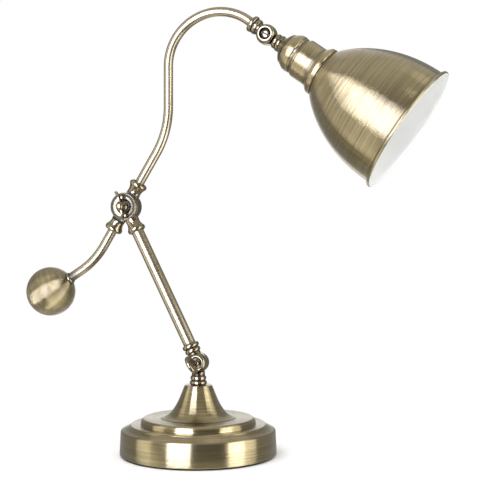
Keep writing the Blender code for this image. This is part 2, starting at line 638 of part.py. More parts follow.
# Ferrules, hub discs and their fasteners ----------------------------------------------------------
def ferrule(name, axis, tail):
    """Trumpet socket that grows out of a hub disc along `axis`; `tail` closes it through the mouth."""
    lip = FERRULE_LIP_RADIUS - FERRULE_LIP_ROUND * 0.75
    outline = [(0, 3.0), (FERRULE_WAIST_RADIUS + 0.3, 3.0), (FERRULE_WAIST_RADIUS + 0.3, HUB_RADIUS),
               (FERRULE_WAIST_RADIUS, FERRULE_WAIST_AT - 1.5), (FERRULE_WAIST_RADIUS, FERRULE_WAIST_AT + 0.5)]
    for share in (0.45, 0.8):
        flare = (FERRULE_LIP_RADIUS - 0.4 - FERRULE_WAIST_RADIUS) * share ** 1.7
        run = (FERRULE_LIP_AT - 1.4 - FERRULE_WAIST_AT) * share
        outline.append((FERRULE_WAIST_RADIUS + flare, FERRULE_WAIST_AT + run))
    outline += [(lip + FERRULE_LIP_ROUND * 0.75 * math.cos(math.radians(a)),
                 FERRULE_LIP_AT + FERRULE_LIP_ROUND * math.sin(math.radians(a)))
                for a in (-25, 5, 35, 65, 90)]
    return turned(name, outline + tail, 18, None, frame(LEVER_PIVOT, axis))


def hub_clearance(name, low, high):
    """Round cutter that keeps one hub disc's ferrules clear of the other disc."""
    return prism(name, 28, HUB_RADIUS + HUB_CLEARANCE, low, high, frame(LEVER_PIVOT, FRONT))


def build_lower_hub(parent):
    """Front disc of the lever hinge with the socket of the lower arm."""
    hole = BOLT_RADIUS + GAP
    split = HUB_SPLIT + GAP / 2
    disc = turned("lower_hub", [
        (hole, POCKET_FLOOR), (POCKET_RADIUS, POCKET_FLOOR), (POCKET_RADIUS, HUB_FRONT - BOWL_DEPTH),
        (BOWL_RADIUS, HUB_FRONT - 0.2), (BOWL_RADIUS + 0.3, HUB_FRONT),
        (HUB_RADIUS - HUB_BEVEL, HUB_FRONT), (HUB_RADIUS - 0.2, HUB_FRONT - HUB_BEVEL * 0.6),
        (HUB_RADIUS, HUB_FRONT - HUB_BEVEL - 0.4), (HUB_RADIUS, split + 0.5), (HUB_RADIUS - 0.5, split),
        (hole, split)], 28, CAST_BRASS, frame(LEVER_PIVOT, FRONT), parent)
    mouth = LOWER_TUBE_RADIUS + GAP
    top = FERRULE_LIP_AT + FERRULE_LIP_ROUND
    spigot = LOWER_TUBE_RADIUS - TUBE_WALL - GAP
    tail = [(FERRULE_MOUTH_RADIUS, top - 0.3), (mouth, FERRULE_SEAT + 2.5), (mouth, FERRULE_SEAT),
            (spigot, FERRULE_SEAT), (spigot, FERRULE_SEAT + SPIGOT_LENGTH + 3.0),
            (SPIGOT_BORE, FERRULE_SEAT + SPIGOT_LENGTH + 3.0), (SPIGOT_BORE, FERRULE_WAIST_AT),
            (0, FERRULE_WAIST_AT)]
    neck = ferrule("lower_socket", -LOWER_AXIS, tail)
    boolean(neck, hub_clearance("lower_hub_clear", -HUB_REAR - 5, split + 0.3), "DIFFERENCE")
    boolean(neck, prism("lower_hub_pocket", 24, POCKET_RADIUS + 2.0, 0, HUB_FRONT + 5,
                        frame(LEVER_PIVOT, FRONT)), "DIFFERENCE")
    return boolean(disc, neck, "UNION")


def build_lever_hub(parent):
    """Rear disc of the lever hinge with the sockets of the upper arm and of the counterweight rod."""
    hole = BOLT_RADIUS + GAP
    split = HUB_SPLIT - GAP / 2
    disc = turned("lever_hub", [
        (hole, split), (HUB_RADIUS - 0.5, split), (HUB_RADIUS, split - 0.5), (HUB_RADIUS, HUB_BEVEL - HUB_REAR),
        (HUB_RADIUS - HUB_BEVEL, -HUB_REAR), (BOLT_HEAD_RADIUS + 1.2, -HUB_REAR),
        (BOLT_HEAD_RADIUS + 0.5, BOLT_HEAD_HEIGHT - HUB_REAR), (hole, BOLT_HEAD_HEIGHT - HUB_REAR)],
        28, CAST_BRASS, frame(LEVER_PIVOT, FRONT), parent)
    bore = SLIM_TUBE_RADIUS + GAP
    top = FERRULE_LIP_AT + FERRULE_LIP_ROUND
    tail = [(FERRULE_MOUTH_RADIUS, top - 0.3), (FERRULE_MOUTH_RADIUS - 0.4, FERRULE_LIP_AT - 0.5),
            (bore, FERRULE_SEAT), (bore, FERRULE_SOCKET), (0, FERRULE_SOCKET)]
    for label, axis in (("upper_socket", LEVER_AXIS), ("rod_socket", -LEVER_AXIS)):
        neck = ferrule(label, axis, tail)
        boolean(neck, hub_clearance(label + "_clear", split - 0.3, HUB_FRONT + 5), "DIFFERENCE")
        boolean(neck, prism(label + "_hole", 24, BOLT_HEAD_RADIUS + 2.0, -HUB_REAR - 5, HUB_FRONT + 5,
                            frame(LEVER_PIVOT, FRONT)), "DIFFERENCE")
        boolean(disc, neck, "UNION")
    return disc


def build_pivot_fasteners(lower, lever):
    """Bolt through the hub, spring washer in the pocket and the wing nut that clamps them."""
    head_low = -HUB_REAR + BOLT_HEAD_HEIGHT - GAP
    bolt_end = WING_NUT_REACH - 3.0
    bolt = turned("pivot_bolt", [
        (0, head_low - BOLT_HEAD_HEIGHT), (BOLT_HEAD_RADIUS - 0.8, head_low - BOLT_HEAD_HEIGHT),
        (BOLT_HEAD_RADIUS, head_low - BOLT_HEAD_HEIGHT + 0.7), (BOLT_HEAD_RADIUS, head_low),
        (BOLT_RADIUS, head_low), (BOLT_RADIUS, bolt_end), (0, bolt_end)],
        16, STEEL, frame(LEVER_PIVOT, FRONT), lever)
    slot = block("pivot_bolt_slot", (-BOLT_HEAD_RADIUS - 1, -SCREW_SLOT / 2, head_low - BOLT_HEAD_HEIGHT - 1),
                 (BOLT_HEAD_RADIUS + 1, SCREW_SLOT / 2, head_low - BOLT_HEAD_HEIGHT + 0.8),
                 frame(LEVER_PIVOT, FRONT))
    boolean(bolt, slot, "DIFFERENCE")

    washer_low = POCKET_FLOOR + GAP
    hole = BOLT_RADIUS + GAP
    turned("pivot_washer", [(hole, washer_low), (POCKET_RADIUS - 0.8, washer_low),
                            (POCKET_RADIUS - 0.8, washer_low + 1.0), (hole, washer_low + 1.0)],
           16, STEEL, frame(LEVER_PIVOT, FRONT), lower)
    return washer_low + 1.0 + GAP


def build_wing_nut(base, parent):
    """Domed wing nut whose two wings flare forwards."""
    dome = [(WING_NUT_DOME_RADIUS * math.cos(math.radians(a)),
             WING_NUT_REACH + WING_NUT_DOME_RADIUS * math.sin(math.radians(a))) for a in (-36, -5, 25, 55, 90)]
    dome[-1] = (0, dome[-1][1])
    hole = BOLT_RADIUS + GAP
    hole_end = WING_NUT_REACH - 2.2
    body = [(hole, base), (WING_NUT_BASE_RADIUS - 0.5, base), (WING_NUT_BASE_RADIUS, base + 0.6),
            (WING_NUT_BASE_RADIUS - 0.3, base + 2.2), (WING_NUT_SHANK_RADIUS, base + 4.2)]
    outline = [(0, hole_end), (hole, hole_end)] + body + dome
    nut = turned("wing_nut", outline, 20, CAST_BRASS, frame(LEVER_PIVOT, FRONT), parent)
    root, tip = BOLT_RADIUS + GAP + 0.4, WING_SPAN
    low = base + 2.8
    for side, label in ((1, "wing_a"), (-1, "wing_b")):
        plate = [(root, low), (tip * 0.55, low + 2.2), (tip * 0.82, low + 5.2), (tip * 0.97, low + 8.2),
                 (tip, low + 10.2), (tip * 0.95, low + 11.4), (tip * 0.84, low + 11.2),
                 (tip * 0.62, low + 8.6), (tip * 0.42, low + 7.6), (root, low + 7.8)]
        outline = [(side * r, z) for r, z in plate]
        across = lean(WING_TURN)
        turn = Matrix((across, FRONT, across.cross(FRONT))).transposed().to_4x4()
        place = Matrix.Translation(LEVER_PIVOT * MM) @ turn
        boolean(nut, flat_plate(label, outline, WING_THICKNESS, place), "UNION")
    return nut


# Counterweight -----------------------------------------------------------------------------------
def build_counterweight(parent):
    start = LEVER_PIVOT - (FERRULE_SOCKET + GAP) * LEVER_AXIS
    end = BALL_CENTRE - (BALL_RADIUS - BALL_SOCKET_DEPTH + GAP) * TAIL_AXIS
    path = [start, ROD_BEND_START] + ROD_BEND + [end]
    tube("counterweight_rod", path, SLIM_TUBE_RADIUS, 12, 0.0, BRASS, parent)

    place = frame(BALL_CENTRE, -TAIL_AXIS)
    bore = SLIM_TUBE_RADIUS + GAP
    mouth = math.degrees(math.acos((bore + 0.3) / BALL_RADIUS))
    socket_floor = BALL_RADIUS - BALL_SOCKET_DEPTH
    outline = [(0, socket_floor), (bore, socket_floor), (bore, BALL_RADIUS * math.sin(math.radians(mouth)) - 0.3)]
    outline += arc((0, 0), BALL_RADIUS, mouth, -90, 13)[:-1] + [(0, -BALL_RADIUS)]
    turned("counterweight_ball", outline, 24, BRASS, place, parent)

    seat = math.sqrt(BALL_RADIUS ** 2 - bore ** 2) + GAP
    turned("counterweight_collar", [
        (bore, seat), (COLLAR_RADIUS - 0.4, seat), (COLLAR_RADIUS, seat + 0.6),
        (COLLAR_RADIUS, seat + COLLAR_LENGTH * 0.5), (COLLAR_RADIUS - 0.8, seat + COLLAR_LENGTH * 0.85),
        (COLLAR_RADIUS - 1.4, seat + COLLAR_LENGTH), (bore, seat + COLLAR_LENGTH)],
        20, CAST_BRASS, place, parent)


# Lampholder and shade ------------------------------------------------------------------------------
def bell_outline(start, inset, count=9):
    """Bell curve from the neck to the mouth, moved inwards by `inset`."""
    points = []
    swell = SHADE_MOUTH_RADIUS - SHADE_NECK_RADIUS
    for i in range(count):
        t = (i / (count - 1)) ** 1.35
        radius = SHADE_NECK_RADIUS + swell * (1.0 - (1.0 - t) ** SHADE_BELLY) ** SHADE_SHOULDER
        slope = SHADE_BELLY * (1.0 - t) ** (SHADE_BELLY - 1.0) * swell / SHADE_LENGTH
        turn = math.atan(slope)
        points.append((radius - inset * math.cos(turn),
                       start + SHADE_LENGTH * t + inset * math.sin(turn)))
    return points


def build_holder(parent):
    place = frame(SHADE_PIVOT, SHADE_AXIS)
    hole = NIPPLE_RADIUS + GAP
    cap_low = HOLDER_RING_FACE + GAP
    cap_top = cap_low + CAP_LENGTH
    upper_low = cap_top + GAP
    nut_low = upper_low + HOLDER_WALL + GAP
    stem_end = nut_low + NUT_THICKNESS + 1.0
    tail = [(NIPPLE_RADIUS, HOLDER_RING_FACE), (NIPPLE_RADIUS, stem_end), (SPIGOT_BORE, stem_end),
            (SPIGOT_BORE, HOLDER_BEAD_AT), (0, HOLDER_BEAD_AT)]
    profile = neck_with_rings(NECK_RADIUS - 0.4, (HOLDER_BEAD_AT, HOLDER_BEAD_RADIUS, HOLDER_BEAD_WIDTH),
                              (HOLDER_RING_AT, HOLDER_RING_RADIUS, HOLDER_RING_WIDTH), tail)
    knuckle("holder_knuckle", SHADE_PIVOT, REAR, SHADE_AXIS, profile, parent, SCREW_RADIUS + GAP)

    dome = CAP_RADIUS - CAP_FOOT_RADIUS
    outer = [(CAP_FOOT_RADIUS - 0.6, cap_low), (CAP_FOOT_RADIUS, cap_low + 0.8)]
    outer += [(CAP_FOOT_RADIUS + dome * s, cap_low + CAP_LENGTH * h)
              for s, h in ((0.22, 0.34), (0.58, 0.58), (1.0, 0.95))]
    inner = [(r - HOLDER_WALL, z + HOLDER_WALL * 0.6) for r, z in outer[1:-1]]
    turned("holder_cap", [(hole, cap_low)] + outer + [(CAP_RADIUS - 0.3, cap_top),
                                                      (CAP_RADIUS - HOLDER_WALL - 0.4, cap_top)]
           + inner[::-1] + [(hole, cap_low + HOLDER_WALL)], 24, BRASS, place, parent)

    shoulder = UPPER_SHELL_RADIUS - CAP_RADIUS + 0.4
    upper_end = upper_low + UPPER_SHELL_LENGTH
    rise = [(CAP_RADIUS - 0.4 + shoulder * math.sin(math.radians(a)) ** 0.8,
             upper_low + UPPER_SHELL_SHOULDER * (1 - math.cos(math.radians(a)))) for a in (0, 30, 60, 90)]
    waist = UPPER_SHELL_RADIUS - 0.75
    outer = rise + [(UPPER_SHELL_RADIUS, upper_end - 2.6), (waist, upper_end - 1.4), (waist, upper_end)]
    inner = [(waist - HOLDER_WALL, upper_end), (waist - HOLDER_WALL, upper_end - 1.8),
             (UPPER_SHELL_RADIUS - HOLDER_WALL, upper_end - 3.2)]
    inner += [(r - HOLDER_WALL * 0.8, z + HOLDER_WALL * 0.8) for r, z in rise[:0:-1]]
    turned("holder_upper_shell", [(hole, upper_low)] + outer + inner + [(hole, upper_low + HOLDER_WALL)],
           24, BRASS, place, parent)
    nut = prism("holder_nut", 6, NUT_ACROSS_CORNERS / 2, nut_low, nut_low + NUT_THICKNESS - 1.0, place,
                STEEL, parent)
    boolean(nut, prism("holder_nut_hole", 16, hole, nut_low - 1, nut_low + NUT_THICKNESS, place), "DIFFERENCE")

    lower_low = upper_end + GAP
    lower_end = lower_low + LOWER_SHELL_LENGTH
    sleeve = waist - HOLDER_WALL - GAP
    inner_wall = LOWER_SHELL_RADIUS - HOLDER_WALL
    step = lower_low + 4.0
    turned("holder_lower_shell", [
        (sleeve, lower_low - LOWER_SHELL_TAIL), (sleeve, lower_low), (waist, lower_low), (waist, lower_low + 0.9),
        (LOWER_SHELL_RADIUS - 0.3, lower_low + 2.4), (LOWER_SHELL_RADIUS, lower_low + 3.4),
        (LOWER_SHELL_RADIUS, lower_end - 0.5), (LOWER_SHELL_RADIUS - 0.4, lower_end), (inner_wall, lower_end),
        (inner_wall, step), (sleeve - HOLDER_WALL, step - 1.4),
        (sleeve - HOLDER_WALL, lower_low - LOWER_SHELL_TAIL)], 24, BRASS, place, parent)

    ring_low = lower_end + GAP
    ring_end = ring_low + SHADE_RING_LENGTH
    ring_bore = SOCKET_RADIUS + GAP
    turned("shade_ring", [
        (ring_bore, ring_low), (LOWER_SHELL_RADIUS + 0.5, ring_low), (SHADE_RING_RADIUS - 1.3, ring_low + 1.3),
        (SHADE_RING_RADIUS - 0.4, ring_low + 2.4), (SHADE_RING_RADIUS, ring_low + 4.2),
        (SHADE_RING_RADIUS, ring_end - 1.6), (SHADE_RING_RADIUS - 0.3, ring_end), (ring_bore, ring_end)],
        28, BRASS, place, parent)

    neck = ring_end + GAP
    bell = neck + SHADE_WALL * 0.9
    mouth = bell + SHADE_LENGTH
    outer = bell_outline(bell, 0.0)
    inner = bell_outline(bell, SHADE_WALL, 7)
    middle = (SHADE_MOUTH_RADIUS + SHADE_BEAD_OUT, mouth + SHADE_BEAD + 1.4)
    roll = arc(middle, SHADE_BEAD, -140, 150, 6)
    turned("shade", [(ring_bore, neck), (SHADE_NECK_RADIUS - 0.5, neck)] + outer + roll
           + [(SHADE_MOUTH_RADIUS - SHADE_WALL, mouth + 2.0)] + inner[:0:-1]
           + [(SHADE_NECK_RADIUS - SHADE_WALL, neck + SHADE_WALL), (ring_bore, neck + SHADE_WALL)],
           36, BRASS, place, parent)

    retainer_low = neck + SHADE_WALL + GAP
    turned("shade_retainer", [
        (ring_bore, retainer_low), (RETAINER_RADIUS, retainer_low), (RETAINER_RADIUS, retainer_low + 2.6),
        (RETAINER_RADIUS - 1.0, retainer_low + RETAINER_LENGTH), (ring_bore, retainer_low + RETAINER_LENGTH)],
        24, PORCELAIN, place, parent)
    build_socket(place, sleeve - HOLDER_WALL - GAP, step + GAP, retainer_low + SOCKET_PROUD, parent)


def build_socket(place, tail_radius, seat, end, parent):
    """Insulating socket body with its threaded shell and its centre contact."""
    floor = end - SOCKET_DEPTH
    flange = LOWER_SHELL_RADIUS - HOLDER_WALL - GAP
    back = seat - 7.0
    turned("socket_body", [
        (0, back), (tail_radius, back), (tail_radius, seat - 1.6), (tail_radius, seat), (flange, seat),
        (flange, seat + 2.5), (SOCKET_RADIUS, seat + 2.5), (SOCKET_RADIUS, end - 0.6),
        (SOCKET_RADIUS - 0.6, end), (SOCKET_BORE + 0.5, end), (SOCKET_BORE, end - 0.5), (SOCKET_BORE, floor),
        (0, floor)], 24, PORCELAIN, place, parent)

    outside = SOCKET_BORE - GAP
    low = floor + 6.0
    length = end - 2.0 - low
    wave = []
    for i in range(2 * THREAD_RIDGES + 1):
        depth = THREAD_DEPTH if i % 2 else 0.0
        wave.append((outside - depth, low + length * i / (2 * THREAD_RIDGES)))
    lining = [(r - THREAD_WALL, z) for r, z in wave]
    turned("socket_thread", [(CONTACT_RADIUS + 4.0, low - 1.0), (outside - 0.6, low - 1.0)] + wave
           + lining[::-1] + [(outside - THREAD_WALL - 0.6, low - 0.4), (CONTACT_RADIUS + 4.0, low - 0.4)],
           18, BRASS, place, parent)
    turned("socket_contact", [
        (0, floor + GAP), (CONTACT_RADIUS, floor + GAP), (CONTACT_RADIUS, floor + GAP + 0.8),
        (2.4, floor + GAP + 1.0), (2.0, floor + 3.6), (0, floor + 4.0)], 16, STEEL, place, parent)


# Assembly ------------------------------------------------------------------------------------------
def build_lamp():
    collar_foot = build_base()
    build_base_knuckle(collar_foot)

    lower = pivot("lower_arm_joint", BASE_PIVOT)
    lever = pivot("lever_joint", LEVER_PIVOT, lower)
    head = pivot("head_joint", SHADE_PIVOT, lever)
    thumb = pivot("thumb_screw_joint", BASE_PIVOT)
    wing = pivot("wing_nut_joint", LEVER_PIVOT, lower)

    build_thumb_screw(thumb)
    arm_knuckle("lower_knuckle", BASE_PIVOT, LOWER_AXIS, lower)
    start = BASE_PIVOT + (ARM_RING_FACE + GAP) * LOWER_AXIS
    end = LEVER_PIVOT - (FERRULE_SEAT + GAP) * LOWER_AXIS
    tube("lower_arm_tube", [start, end], LOWER_TUBE_RADIUS, 16, LOWER_TUBE_RADIUS - TUBE_WALL, BRASS, lower)
    build_lower_hub(lower)
    build_lever_hub(lever)
    nut_base = build_pivot_fasteners(lower, lever)
    build_wing_nut(nut_base, wing)

    start = LEVER_PIVOT + (FERRULE_SOCKET + GAP) * LEVER_AXIS
    end = SHADE_PIVOT - (ARM_RING_FACE + GAP) * NOSE_AXIS
    path = [start, RUN_END] + SWEEP + [RISER_END] + ARCH + [end]
    tube("upper_arm_tube", path, SLIM_TUBE_RADIUS, 12, SLIM_TUBE_RADIUS - TUBE_WALL, BRASS, lever)
    build_counterweight(lever)

    arm_knuckle("arm_end_knuckle", SHADE_PIVOT, -NOSE_AXIS, lever)
    knuckle_washer("head_washer", SHADE_PIVOT, lever)
    build_slotted_screw("head_screw", SHADE_PIVOT, lever)
    build_holder(head)


def shade_smooth_all():
    """Smooth shading for the turned and bent pieces, with their real edges kept sharp."""
    for obj in LAMP.objects:
        if obj.type == "MESH":
            obj.data.shade_smooth()
            if obj.data.polygons:
                obj.data.set_sharp_from_angle(angle=math.radians(obj.get("smooth_angle", 35.0)))


build_lamp()
shade_smooth_all()
print("knuckle", tuple(round(v, 2) for v in BASE_PIVOT), "lever", tuple(round(v, 2) for v in LEVER_PIVOT),
      "shade", tuple(round(v, 2) for v in SHADE_PIVOT), "ball", tuple(round(v, 2) for v in BALL_CENTRE))
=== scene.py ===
"""Swing arm desk lamp in antique brass: finishes, fine shapes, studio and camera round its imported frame.

Lengths are in millimetres and angles in degrees unless a name or a note says otherwise. Both arms move in the
plane y = 0, every hinge runs along Y, and the front of the lamp is -Y.
"""

import json
import logging
import math
from collections.abc import Callable
from dataclasses import dataclass, field
from enum import Enum

import bmesh
import bpy
from mathutils import Matrix, Vector
from mathutils.bvhtree import BVHTree

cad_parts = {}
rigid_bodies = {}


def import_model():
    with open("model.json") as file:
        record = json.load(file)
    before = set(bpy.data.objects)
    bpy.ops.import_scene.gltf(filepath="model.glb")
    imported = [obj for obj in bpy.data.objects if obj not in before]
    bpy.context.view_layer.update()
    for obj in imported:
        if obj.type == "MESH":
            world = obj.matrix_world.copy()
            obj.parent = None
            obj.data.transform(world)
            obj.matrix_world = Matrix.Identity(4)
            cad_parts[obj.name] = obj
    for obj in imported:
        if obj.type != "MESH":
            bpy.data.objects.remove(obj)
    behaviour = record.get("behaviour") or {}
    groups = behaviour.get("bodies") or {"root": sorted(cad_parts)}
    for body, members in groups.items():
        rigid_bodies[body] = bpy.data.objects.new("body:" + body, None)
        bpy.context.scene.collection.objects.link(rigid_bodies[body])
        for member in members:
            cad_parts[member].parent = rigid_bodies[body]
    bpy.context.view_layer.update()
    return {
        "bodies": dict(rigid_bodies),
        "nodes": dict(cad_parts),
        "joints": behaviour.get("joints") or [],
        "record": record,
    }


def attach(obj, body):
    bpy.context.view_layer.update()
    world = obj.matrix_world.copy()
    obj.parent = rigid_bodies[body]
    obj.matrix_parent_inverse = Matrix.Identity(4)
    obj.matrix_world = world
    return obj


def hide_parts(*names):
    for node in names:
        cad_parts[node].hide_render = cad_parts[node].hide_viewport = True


LOG = logging.getLogger("lamp")
MM = 0.001
GAP = 0.3                    # clearance between two pieces that touch
NEAR = 1e-3                  # points of an outline nearer than this are one point
AXIS = 1e-6                  # radii below this lie on the axis
CM = 10.0                    # a centimetre, the unit of the brushed grain
ORIGIN = Matrix.Identity(4)
UP = Vector((0.0, 0.0, 1.0))
FRONT = Vector((0.0, -1.0, 0.0))
REAR = Vector((0.0, 1.0, 0.0))
SHARP = math.radians(38.0)   # edges above this angle stay crisp
SHANK = 1.9                  # radius of the screws in both knuckles
PIVOT = 2.3                  # radius of the hole for the lever's pivot bolt

Point = tuple[float, float]
# how dark patina and painted shade make a surface at a radius and a height, from 0 to 1
PatinaShadeMap = Callable[[float, float], float]


class Cut(Enum):
    """How one solid acts on another."""

    UNION = "UNION"
    DIFFERENCE = "DIFFERENCE"


class Body(Enum):
    """Bodies of the frame that pieces ride on."""

    BASE = "base"
    LOWER_ARM = "lower_arm"
    LEVER = "lever"
    HEAD = "head"
    THUMB = "thumb_screw"
    WING = "wing_nut"


# Node trees ---------------------------------------------------------------------------------------
def operator(operation: str, reflected: bool = False) -> Callable[["Value", object], "Value"]:
    """Method of Value for one Python operator.

    Args:
        operation: name of the Math operation.
        reflected: whether the value stands on the operator's right.

    Returns:
        The method.
    """
    def method(self: "Value", other: object) -> "Value":
        """Adds the operator's Math node."""
        return self._math(operation, *((other, self) if reflected else (self, other)))

    return method


class Value:
    """A node socket on which maths is written as a Python expression."""

    __add__ = __radd__ = operator("ADD")
    __sub__, __rsub__ = operator("SUBTRACT"), operator("SUBTRACT", True)
    __mul__ = __rmul__ = operator("MULTIPLY")
    __pow__, __rpow__ = operator("POWER"), operator("POWER", True)

    def __init__(self, graph: "Graph", socket: bpy.types.NodeSocket) -> None:
        """Wraps one output of a tree."""
        self.graph, self.socket = graph, socket

    def _math(self, operation: str, *terms: object, clamp: bool = False) -> "Value":
        """Adds one Math node.

        Args:
            operation: name of the Math operation.
            terms: numbers or values, in socket order.
            clamp: whether the result is kept from 0 to 1.

        Returns:
            The node's result.
        """
        return self.graph.value("ShaderNodeMath", 0, {"operation": operation, "use_clamp": clamp},
                                dict(enumerate(terms)))

    def zigzag(self) -> "Value":
        """Straight up and down from 0 to 0.5, once in each unit."""
        return self._math("PINGPONG", self, 0.5)

    def larger(self, other: object) -> "Value":
        """The larger of the two."""
        return self._math("MAXIMUM", self, other)

    def clamped(self) -> "Value":
        """The value kept from 0 to 1."""
        return self._math("ADD", self, 0.0, clamp=True)

    def ramp(self, low: float, high: float) -> "Value":
        """Smooth step from 0 at low to 1 at high."""
        return self.graph.value("ShaderNodeMapRange", "Result", {"interpolation_type": "SMOOTHSTEP"},
                                {"Value": self, "From Min": low, "From Max": high})


class Graph:
    """Any node tree, filled from Python."""

    def __init__(self, tree: bpy.types.NodeTree) -> None:
        """Takes the tree to fill."""
        self.tree = tree

    def node(self, kind: str, settings: dict | None = None, sockets: dict | None = None) -> bpy.types.Node:
        """Adds a node: its settings first, then its sockets.

        Args:
            kind: node type.
            settings: properties by name.
            sockets: values, Value objects or sockets, by input name or number.

        Returns:
            The new node.
        """
        made = self.tree.nodes.new(kind)
        for name, value in (settings or {}).items():
            setattr(made, name, value)
        for key, value in (sockets or {}).items():
            self.feed(made.inputs[key], value)
        return made

    def feed(self, socket: bpy.types.NodeSocket, value: object) -> None:
        """Links a value to a socket, or writes a plain one on it.

        Args:
            socket: input to fill.
            value: number, vector, name, Value or socket.
        """
        if isinstance(value, Value):
            value = value.socket
        if isinstance(value, bpy.types.NodeSocket):
            self.tree.links.new(value, socket)
        else:
            socket.default_value = value

    def value(self, kind: str, output: object, settings: dict | None = None,
              sockets: dict | None = None) -> Value:
        """Adds a node and wraps one of its outputs.

        Args:
            kind: node type.
            output: name or number of the output.
            settings: as in node().
            sockets: as in node().

        Returns:
            The wrapped output.
        """
        return Value(self, self.node(kind, settings, sockets).outputs[output])

    def vector(self, operation: str, *terms: object, **named: object) -> bpy.types.NodeSocket:
        """Vector Math on sockets or plain vectors.

        Args:
            operation: name of the operation.
            terms: vectors, in socket order.
            named: sockets by name, such as Scale.

        Returns:
            The resulting vector.
        """
        sockets = dict(enumerate(terms)) | named
        return self.node("ShaderNodeVectorMath", {"operation": operation}, sockets).outputs[0]

    def join(self, x: object, y: object, z: object) -> bpy.types.NodeSocket:
        """Vector from three numbers or values."""
        return self.node("ShaderNodeCombineXYZ", None, {0: x, 1: y, 2: z}).outputs[0]

    def split(self, vector: bpy.types.NodeSocket) -> list[Value]:
        """The three parts of a vector."""
        return [Value(self, part) for part in self.node("ShaderNodeSeparateXYZ", None, {0: vector}).outputs]


class Paint(Graph):
    """Material tree with the nodes that the finishes share."""

    def __init__(self, name: str) -> None:
        """Starts an empty material.

        Args:
            name: of the material.
        """
        self.material = bpy.data.materials.new(name)
        self.material.use_nodes = True
        super().__init__(self.material.node_tree)
        self.tree.nodes.clear()

    def place(self) -> bpy.types.NodeSocket:
        """Object coordinates, in metres."""
        return self.node("ShaderNodeTexCoord").outputs["Object"]

    def carried(self, name: str) -> Value:
        """A number that the mesh carries as an attribute."""
        return self.value("ShaderNodeAttribute", "Fac", {"attribute_name": name})

    def carried_vector(self, name: str) -> bpy.types.NodeSocket:
        """A vector that the mesh carries as an attribute."""
        return self.node("ShaderNodeAttribute", {"attribute_name": name}).outputs["Vector"]

    def noise(self, vector: object, scale: float, detail: float = 2.0, roughness: float = 0.5) -> Value:
        """Noise about 0.5.

        Args:
            vector: where it is read.
            scale: cells per unit of the vector.
            detail: octaves.
            roughness: weight of the finer octaves.

        Returns:
            The noise value.
        """
        return self.value("ShaderNodeTexNoise", "Fac", None,
                          {"Vector": vector, "Scale": scale, "Detail": detail, "Roughness": roughness})

    def blend(self, share: object, first: object, second: object) -> bpy.types.NodeSocket:
        """Mixes two colours.

        Args:
            share: number or value from 0, the first, to 1, the second.
            first: colour or socket.
            second: colour or socket.

        Returns:
            The mixed colour.
        """
        return self.node("ShaderNodeMix", {"data_type": "RGBA", "clamp_factor": True},
                         {0: share, 6: first, 7: second}).outputs[2]

    def bump(self, height: Value, strength: float, distance: float = 0.0002) -> bpy.types.NodeSocket:
        """Normal bent by a height.

        Args:
            height: how high the surface lies, from 0 to 1.
            strength: share of the effect.
            distance: metres that a height of 1 stands for.

        Returns:
            The normal.
        """
        return self.node("ShaderNodeBump", None,
                         {"Strength": strength, "Distance": distance, "Height": height}).outputs[0]

    def close(self, shader: bpy.types.Node) -> bpy.types.Material:
        """Ends the tree on a shader."""
        self.node("ShaderNodeOutputMaterial", None, {"Surface": shader.outputs[0]})
        return self.material

    def finish(self, sockets: dict) -> bpy.types.Material:
        """Ends the tree on a Principled shader with these inputs."""
        return self.close(self.node("ShaderNodeBsdfPrincipled", None, sockets))


def colour(red: float, green: float, blue: float) -> tuple[float, float, float, float]:
    """Linear colour with its alpha."""
    return (red, green, blue, 1.0)


# Finishes -----------------------------------------------------------------------------------------
@dataclass(frozen=True)
class BrushedBrass:
    """Antique brass brushed round each piece, lacquered, with patina and painted shade where the brush
    doesn't reach, in its recesses and grooves.
    """

    name: str = "antique_brass_brushed"
    bright: tuple = colour(0.47, 0.39, 0.215)
    deep: tuple = colour(0.29, 0.232, 0.115)
    # near-black patina, also the colour that recesses, grooves and gaps take as painted shade
    patina: tuple = colour(0.03, 0.03, 0.026)
    roughness: float = 0.15
    throw: float = 0.75          # how far the finest lines tilt the surface, side to side
    lines: float = 13.0          # finest lines in a centimetre
    streaks: float = 11.0        # streaks in a centimetre that the eye can tell apart
    slot: str = "antique_brass"

    def make(self) -> bpy.types.Material:
        """Builds the material, which reads the attributes grain, lay, recess, stain and edge.

        Returns:
            The material.
        """
        paint = Paint(self.name)
        around, across, along = paint.split(paint.carried_vector("grain"))
        stray = paint.noise(paint.join(around, across, along * 2.0), 1.0, 1.0)
        fine = (along * self.lines + stray * 3.0).zigzag() * 2.0
        streak = paint.noise(paint.join(around * 0.7, across * 0.7, along * self.streaks), 1.0, 3.0, 0.7)
        cloud = paint.noise(paint.place(), 28.0)
        # painted shade with patina: points that lie deep (recess) or under the painted mask turn towards the
        # patina colour, rougher and less metallic
        dark = paint.carried("recess").ramp(0.2, 0.7).larger(paint.carried("patina_shade_mask"))

        tone = (streak * 1.5 + cloud * 0.4 + paint.carried("edge") * 0.3).ramp(0.55, 1.35)
        metal = paint.blend(dark * 0.9, paint.blend(tone, self.deep, self.bright), self.patina)
        rough = self.roughness + (streak - 0.5) * 0.08 + dark * 0.2

        run = paint.node("ShaderNodeVectorTransform",
                         {"vector_type": "VECTOR", "convert_from": "OBJECT", "convert_to": "WORLD"},
                         {0: paint.carried_vector("lay")}).outputs[0]
        tilt = (fine - 0.5) * self.throw + (streak - 0.5) * 0.07
        normal = paint.node("ShaderNodeNewGeometry").outputs["Normal"]
        bent = paint.vector("ADD", normal, paint.vector("SCALE", run, Scale=tilt))
        return paint.finish({"Base Color": metal, "Metallic": 1.0 - dark * 0.4, "Roughness": rough,
                             "Normal": paint.vector("NORMALIZE", bent), "Coat Weight": 0.3,
                             "Coat Roughness": 0.15})


